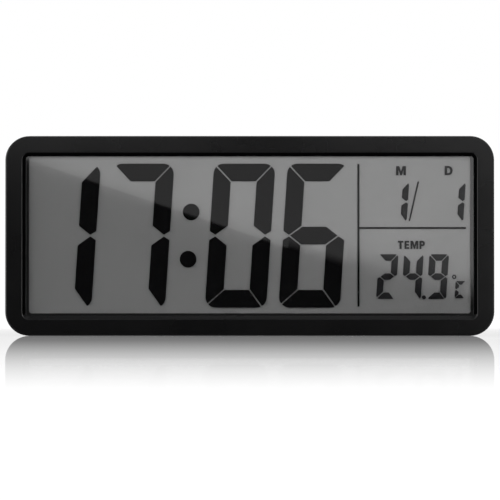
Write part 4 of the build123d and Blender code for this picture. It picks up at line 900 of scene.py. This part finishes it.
@dataclass
class Display(Assembly):
    """Lens, mask and liquid crystal cell, with the words of its fixed legends."""

    WEARS = {
        "lens_acrylic": ("display_lens",),
        "mask_film": ("display_mask",),
        "polariser_film": ("lcd_front_polariser",),
        "display_glass": ("lcd_front_glass", "lcd_rear_glass"),
        "seal_resin": ("lcd_cell_seal",),
        "reflector_film": ("lcd_reflector",),
        "holder_black": ("lcd_holder",),
        "ribbon_amber": ("lcd_ribbon",),
        "segment_dye": ("hour_segments", "minute_segments", "colon_dots", "panel_lines"),
        "legend_dye": ("date_segments", "temperature_segments"),
    }

    # Piece, word and middle of each legend, right of and above the centre of the case.
    legends: tuple[tuple[str, BoldWord, Pair], ...] = (
        ("month_letter", BoldWord("M", 6.9 * MM, 7.4 * MM), (113.2 * MM, 48.9 * MM)),
        ("day_letter", BoldWord("D", 6.9 * MM, 6.0 * MM), (148.9 * MM, 49.0 * MM)),
        ("temperature_word", BoldWord("TEMP", 6.1 * MM, 20.3 * MM), (120.9 * MM, -6.6 * MM)),
    )

    def build(self) -> None:
        """Makes the fixed legends, in the same layer as the segments."""
        low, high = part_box("hour_segments")
        centre = self.frame.centre
        for name, word, (right, up) in self.legends:
            spot = Vector((centre.x + right, (low.y + high.y) / 2.0, centre.z + up))
            self.add(name, word.mesh(spot, high.y - low.y), Body.CASE, Slot.INK, "legend_dye")


@dataclass
class BackPanel(Assembly):
    """Buttons with their printed words, and the bare plate in the back of the case."""

    WEARS = {
        "button_grey": tuple(f"{name}_button" for name in BUTTON_WORDS),
        "stem_black": tuple(f"{name}_switch_stem" for name in BUTTON_WORDS),
    }

    cap: float = 2.3 * MM  # height of the printed words, and width of the signs
    weight: float = 0.012  # how much bolder than the plain face they are
    lift: float = 6.9 * MM  # from a button's middle up to the middle of its word
    face: float = 13.8 * MM  # Y of the face that they are printed on
    ink: float = 0.04 * MM  # thickness of the print
    plate_size: Pair = (82.6 * MM, 20.6 * MM)  # width and height of the bare plate
    plate_height: float = 49.0 * MM  # height of its middle over the case's
    plate_floor: float = 14.6 * MM  # Y of the recess that it lies in
    plate_thickness: float = 0.25 * MM
    plate_rounding: Pair = (1.6 * MM, 0.05 * MM)  # radius of its corners and of its edges

    def build(self) -> None:
        """Prints the words and lays the bare plate."""
        for name, text in BUTTON_WORDS.items():
            low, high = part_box(f"{name}_button")
            middle = (low + high) / 2.0
            spot = Vector((middle.x, self.face, middle.z + self.lift))
            size = (self.cap, 0.0) if text in "+-" else (0.0, self.cap)
            mesh = lettering(printed(text, self.weight), size, spot, Facing.BACK, self.ink)
            self.add(f"{name}_word", mesh, Body.CASE, Slot.CASE, "print_white")
        half = Vector((self.plate_size[0] / 2.0, 0.0, self.plate_size[1] / 2.0))
        middle = Vector((self.frame.centre.x, self.plate_floor, self.frame.centre.z + self.plate_height))
        outer = middle + half + Vector((0.0, self.plate_thickness, 0.0))
        mesh = slab(middle - half, outer, *self.plate_rounding, flat_axis=1)
        self.add("bare_plate", mesh, Body.CASE, Slot.PLATE, "blank_plate")


@dataclass
class BatteryBay(Assembly):
    """Door, contacts and the two dry cells, with the marks that show which way they go."""

    WEARS = {
        "shell_black": ("battery_door",),
        "nickel_steel": ("battery_springs", "battery_plates"),
        "lead_red": ("battery_lead_red",),
        "lead_black": ("battery_lead_black",),
    }

    # Profile of a cell, by finish: distance from its flat end and radius of each point, in millimetres.
    profile: tuple[tuple[Skin, tuple[Pair, ...]], ...] = (
        (Skin.METAL, ((0.25, 0.0), (0.25, 3.9875), (0.0, 4.35))),
        (Skin.JACKET, ((0.0, 5.65), (0.12, 6.8), (0.7, 7.25), (48.5, 7.25), (49.08, 6.8))),
        (Skin.SEAL, ((49.2, 5.75), (48.9, 5.55))),
        (Skin.METAL, (
            (48.9, 3.1), (49.2, 2.7), (50.15, 2.6), (50.42, 2.35), (50.5, 2.0), (50.5, 0.0))),
    )
    length: float = 50.5 * MM  # of a cell with its nub
    band: float = 0.72  # where the jacket's band starts, as a share of the length
    jacket: tuple[Colour, Colour] = ((0.035, 0.16, 0.13), (0.46, 0.47, 0.46))  # colours of body and band
    gloss: float = 0.28  # roughness of the jacket
    pitch: float = 15.3 * MM  # between the cells' axes
    mark: float = 5.0 * MM  # width of the plus and minus marks
    weight: float = 0.01  # how much bolder than the plain face they are
    inset: float = 7.0 * MM  # of a mark from the end of the cell
    ink: float = 0.04 * MM  # thickness of the print
    door: float = 1.8 * MM  # thickness of the door, which lies flush with the back

    def build(self) -> None:
        """Makes the cells and the marks on the door."""
        low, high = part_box("battery_cells")
        middle = (low + high) / 2.0
        for name, along, nub in (("upper_cell", 1.0, high.x), ("lower_cell", -1.0, low.x)):
            start = Vector((nub - along * self.length, middle.y, middle.z + along * self.pitch / 2.0))
            self._cell(name, start, along)
        self._marks(low, high)

    def _cell(self, name: str, start: Vector, along: float) -> None:
        """Makes one dry cell.

        Args:
            name: name of the piece.
            start: middle of its flat end.
            along: direction in X that its nub points in, 1 or -1.
        """
        body, band = self.jacket
        split = start.x + along * self.band * self.length
        jacket = JacketBand(
            f"{name}_jacket", body, self.gloss, other=band, split=split, band_above=along > 0.0)
        self.finishes[jacket.name] = jacket.material()
        rows = [(MM * distance, MM * radius, skin) for skin, run in self.profile for distance, radius in run]
        self.add(
            name, turned(rows, start, along), Body.CASE, Slot.CELL,
            jacket.name, "nickel_steel", "seal_resin", stands_for=("battery_cells",))

    def _marks(self, low: Vector, high: Vector) -> None:
        """Prints the plus and minus marks on the inner face of the door.

        Args:
            low: lowest corner of the cells' box.
            high: highest corner of the cells' box.
        """
        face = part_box("rear_case")[1].y - self.door
        meshes = []
        for side, x in ((-1.0, low.x + self.inset), (1.0, high.x - self.inset)):
            for row in (-1.0, 1.0):
                mark = printed("+" if side == row else "-", self.weight)
                spot = Vector((x, face, (low.z + high.z) / 2.0 + row * self.pitch / 2.0))
                meshes.append(lettering(mark, (self.mark, 0.0), spot, Facing.FRONT, self.ink))
        self.add("polarity_marks", joined(meshes), Body.DOOR, Slot.CASE, "print_white")


@dataclass
class Stand(Assembly):
    """Fold-out leg, its pin and its ribbed pads."""

    WEARS = {"shell_black": ("stand_leg",), "ground_pin": ("stand_pin",)}

    ribs: int = 9  # on a pad
    rib_radius: float = 0.32 * MM
    rib_rise: float = 0.8  # height of a rib under the pad, as a share of its radius
    rib_sides: int = 12
    rounding: Pair = (0.6 * MM, 0.15 * MM)  # radius of a pad's corners and of its edges
    gap: float = 11.6 * MM  # from the middle of the leg to each pad's inner end

    def build(self) -> None:
        """Makes the two pads as one piece."""
        low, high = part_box("stand_pads")
        sole = low.z + self.rib_rise * self.rib_radius
        right = (Vector((self.gap, low.y, sole)), high)
        left = (Vector((low.x, low.y, sole)), Vector((-self.gap, high.y, high.z)))
        base = joined([slab(*ends, *self.rounding, flat_axis=2) for ends in (right, left)])
        step = (high.x - self.gap) / (self.ribs + 1)
        mesh = self.bar_rows.mesh(
            base, self.finishes["pad_rubber"],
            Bars=self.ribs, Bar_Step=(step, 0.0, 0.0), Rows=2, Row_Step=(self.gap + high.x, 0.0, 0.0),
            Start=(low.x + step, (low.y + high.y) / 2.0, low.z + self.rib_radius),
            Bar_Turn=(QUARTER_TURN, 0.0, 0.0), Bar_Radius=self.rib_radius,
            Bar_Length=high.y - low.y - 2.0 * self.rounding[1], Sides=self.rib_sides)
        self.add("ribbed_pads", mesh, Body.STAND, Slot.RUBBER, "pad_rubber", stands_for=("stand_pads",))


@dataclass
class Electronics(Assembly):
    """Board and what is soldered to it, with the conductors of the ribbon."""

    WEARS = {
        "board_lacquer": ("main_board",),
        "chip_black": ("controller_chip",),
        "crystal_can": ("quartz_crystal", "board_capacitors"),
        "buzzer_black": ("buzzer",),
        "stem_black": ("tact_switches",),
        "sensor_resin": ("temperature_sensor",),
        "zinc_steel": ("board_screws", "holder_screws", "case_screws"),
    }

    domes: tuple[str, ...] = ("controller_chip", "temperature_sensor")  # nodes with doubled points at a pole
    lines: int = 26  # conductors in the ribbon
    line_radius: float = 0.05 * MM
    line_sides: int = 6
    inset: float = 2.0 * MM  # of the conductors from the ribbon's edges
    clear: float = 0.15 * MM  # of their axes from the board

    def build(self) -> None:
        """Merges the doubled points of the domes and makes the conductors of the ribbon."""
        for name in self.domes:
            weld = self.frame.nodes[name].modifiers.new("poles", "WELD")
            weld.merge_threshold = WELD_REACH
        low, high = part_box("lcd_ribbon")
        board_low, board_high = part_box("main_board")
        step = (high.x - low.x - 2.0 * self.inset) / (self.lines - 1)
        length = board_high.z - low.z - self.inset
        mesh = self.bar_rows.mesh(
            bpy.data.meshes.new("bare"), self.finishes["solder_tin"],
            Bars=self.lines, Bar_Step=(step, 0.0, 0.0), Rows=1,
            Start=(low.x + self.inset, board_low.y - self.clear, low.z + self.inset / 2.0 + length / 2.0),
            Bar_Radius=self.line_radius, Bar_Length=length, Sides=self.line_sides)
        self.add("ribbon_lines", mesh, Body.CASE, Slot.RIBBON, "solder_tin")


@dataclass(frozen=True)
class Softbox:
    """Rectangular lamp."""

    name: str
    place: Triple  # middle of its face
    aim: Triple  # point that it faces
    size: Pair  # width and height
    radiance: float  # brightness of its face

    def build(self) -> None:
        """Makes the lamp."""
        lamp = bpy.data.lights.new(self.name, "AREA")
        lamp.shape = "RECTANGLE"
        lamp.size, lamp.size_y = self.size
        lamp.energy = self.radiance * math.pi * self.size[0] * self.size[1]
        made = linked(bpy.data.objects.new(self.name, lamp))
        made.location = self.place
        made.visible_camera = False
        made.rotation_euler = (Vector(self.aim) - Vector(self.place)).to_track_quat("-Z", "Y").to_euler()


@dataclass
class Studio:
    """Pale floor, soft lamps, the panel that the lens mirrors, the world and the camera."""

    view_width: float = 372.94 * MM  # width of the picture at the clock's front
    view_middle: Triple = (0.19 * MM, -15.0 * MM, 64.07 * MM)  # point there at its middle
    eye_height: float = 15.0 * MM
    eye_distance: float = 2.5  # distance of the camera from there
    clear_layers: int = 32  # clear surfaces that one ray may pass
    floor_size: Pair = (14.0, 7.0)  # width of the floor, and its reach behind the clock
    floor_front: float = 2.35  # its reach in front of the clock
    floor_matt: Pair = (0.42, 0.12)  # light that it gives back evenly, at the clock and far from it
    floor_lift: Pair = (0.67, 1.02)  # light added where it is seen, so that it is white and keeps a shadow
    shade_reach: float = 0.6  # distance from the clock where the far values start
    sheen_reach: float = 1.88  # distance from the clock where its polish ends
    sheen_power: float = 2.3  # how late and how steeply the polish falls off
    sheen: float = 0.92  # share of light that it mirrors at a glancing view
    sheen_index: float = 1.1  # its refractive index, low so that it mirrors little from above
    panel_distance: float = 3.0  # distance of the mirrored panel from the front
    panel_height: float = 0.9  # its height over its lower edge
    panel_level: float = 0.3875  # its brightness
    front_level: float = 0.019  # brightness of the dim room in front, as mirrors see it
    front_cone: Pair = (-0.98, -0.88)  # Y of the directions at the inner and outer edge of that room's end
    plain_level: float = 0.25  # brightness of the world as plain surfaces get it
    # Points of the panel's lower edge as the lens mirrors it: X, Z and how softly it ends, in millimetres.
    edge: tuple[Triple, ...] = (
        (-400.0, 210.0, 5.0), (-165.8, 131.4, 5.0), (28.6, 65.6, 6.0), (71.2, 55.1, 22.0),
        (153.5, 35.7, 55.0), (260.0, 14.0, 80.0),
    )
    lamps: tuple[Softbox, ...] = (
        Softbox("key_softbox", (0.25, -1.0, 0.52), (0.15, 0.0, 0.3), (1.3, 0.5), 0.5),
        Softbox("left_brow", (-0.16, -0.4, 0.222), (-0.14, 0.0, 0.14), (0.27, 0.045), 16.0),
        Softbox("right_brow", (0.18, -0.4, 0.222), (0.16, 0.0, 0.14), (0.27, 0.045), 18.0),
        Softbox("right_strip", (0.265, -0.4, 0.085), (0.17, 0.0, 0.075), (0.045, 0.2), 14.0),
        Softbox("left_softbox", (-0.75, -0.5, 0.22), (0.0, 0.0, 0.08), (0.8, 0.5), 3.0),
        Softbox("top_softbox", (0.1, 0.15, 1.6), (0.0, 0.0, 0.07), (1.4, 0.8), 2.0),
        Softbox("back_softbox", (-0.8, 1.5, 1.2), (0.0, 0.0, 0.07), (1.2, 0.8), 4.0),
    )

    def build(self) -> None:
        """Builds the whole studio."""
        scene = bpy.context.scene
        scene.view_settings.view_transform = "Standard"
        scene.cycles.transparent_max_bounces = self.clear_layers
        self._floor()
        self._panel()
        self._world()
        for lamp in self.lamps:
            lamp.build()
        self._camera()

    def _camera(self) -> None:
        """Makes the camera and makes it the scene's own."""
        data = bpy.data.cameras.new("camera")
        data.sensor_fit = "HORIZONTAL"
        data.lens = data.sensor_width * self.eye_distance / self.view_width
        camera = linked(bpy.data.objects.new("camera", data))
        middle = Vector(self.view_middle)
        camera.location = Vector((middle.x, middle.y - self.eye_distance, self.eye_height))
        camera.rotation_euler = (middle - camera.location).to_track_quat("-Z", "Y").to_euler()
        bpy.context.scene.camera = camera

    def _floor(self) -> None:
        """Makes the pale floor, polished around the clock."""
        shape = bmesh.new()
        half, back = self.floor_size[0] / 2.0, self.floor_size[1]
        corners = ((-half, -self.floor_front), (half, -self.floor_front), (half, back), (-half, back))
        shape.faces.new([shape.verts.new((x, y, 0.0)) for x, y in corners])
        bench = NodeBench.named("pale_floor")
        away = bench.tap("VectorMath", {0: bench.coordinates["Object"]}, "Value", operation="LENGTH")
        near = (0.0, self.shade_reach)
        matt = bench.tap("BsdfDiffuse", {"Color": bench.ranged(away, near, self.floor_matt, smooth=True)})
        path = bench.add("LightPath").outputs
        seen = bench.combine("MAXIMUM", path["Is Camera Ray"], path["Is Glossy Ray"])
        seen = bench.combine("MAXIMUM", seen, path["Is Transmission Ray"])
        lift = bench.combine("MULTIPLY", seen, bench.ranged(away, near, self.floor_lift, smooth=True))
        pale = bench.tap("AddShader", {0: matt, 1: bench.tap("Emission", {"Strength": lift})})
        loss = bench.combine("POWER", bench.combine("DIVIDE", away, self.sheen_reach), self.sheen_power)
        fresnel = bench.tap("Fresnel", {"IOR": self.sheen_index})
        share = bench.combine("MULTIPLY", fresnel, bench.ranged(loss, UNIT, (self.sheen, 0.0)))
        shine = bench.tap("BsdfGlossy", {"Roughness": 0.0})
        floor = new_piece("pale_floor", to_mesh(shape), bench.close(bench.mixed(share, pale, shine)))
        floor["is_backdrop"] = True

    def _panel(self) -> None:
        """Makes the lit panel behind the camera, whose slanting lower edge shows in the lens."""
        shape = bmesh.new()
        rise = shape.loops.layers.uv.new("rise")
        depth = self.view_middle[1] - self.panel_distance
        reach = self.panel_distance / self.eye_distance
        columns = []
        for point in self.edge:
            lens_x, lens_z, soft = (MM * value for value in point)
            x = lens_x + (lens_x - self.view_middle[0]) * reach
            z = lens_z + (lens_z - self.eye_height) * reach
            heights = (-soft / 2.0, self.panel_height)
            columns.append([(shape.verts.new((x, depth, z + up)), up / soft + 0.5) for up in heights])
        for left, right in zip(columns, columns[1:]):
            corners = [left[0], right[0], right[1], left[1]]
            face = shape.faces.new([vertex for vertex, _ in corners])
            for loop, (_, share) in zip(face.loops, corners):
                loop[rise].uv = (0.0, share)
        bench = NodeBench.named("lit_panel")
        height = bench.tap("SeparateXYZ", {0: bench.tap("UVMap", uv_map="rise")}, "Y")
        level = bench.ranged(height, UNIT, (0.0, self.panel_level), smooth=True)
        glow = bench.tap("Emission", {"Strength": level})
        panel = new_piece("lit_panel", to_mesh(shape), bench.close(glow))
        panel.visible_camera = False
        panel.visible_diffuse = False
        panel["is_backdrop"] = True

    def _world(self) -> None:
        """Makes the world: white all round but for the dim room in front, and even for plain light."""
        bench = NodeBench(bpy.data.worlds.new("studio"))
        bpy.context.scene.world = bench.owner
        depth = bench.tap("SeparateXYZ", {0: bench.coordinates["Generated"]}, "Y")
        room = bench.ranged(depth, self.front_cone, (self.front_level, 1.0), smooth=True)
        plain, mirrored, white = (
            bench.tap("Background", {"Color": WHITE, "Strength": level})
            for level in (self.plain_level, room, 1.0))
        path = bench.add("LightPath").outputs
        straight = bench.combine("MAXIMUM", path["Is Camera Ray"], path["Is Transmission Ray"])
        around = bench.mixed(path["Is Glossy Ray"], plain, mirrored)
        bench.add("OutputWorld", {"Surface": bench.mixed(straight, around, white)})


def main() -> None:
    """Dresses the frame, makes the added pieces and sets up the studio."""
    logging.basicConfig(level=logging.INFO)
    frame = Frame()
    Studio().build()
    finishes = {finish.name: finish.material() for finish in FINISHES}
    bar_rows = BarRows()
    for kind in (Case, Display, BackPanel, BatteryBay, Stand, Electronics):
        assembly = kind(frame, finishes, bar_rows)
        assembly.dress()
        assembly.build()


if __name__ == "__main__":
    main()
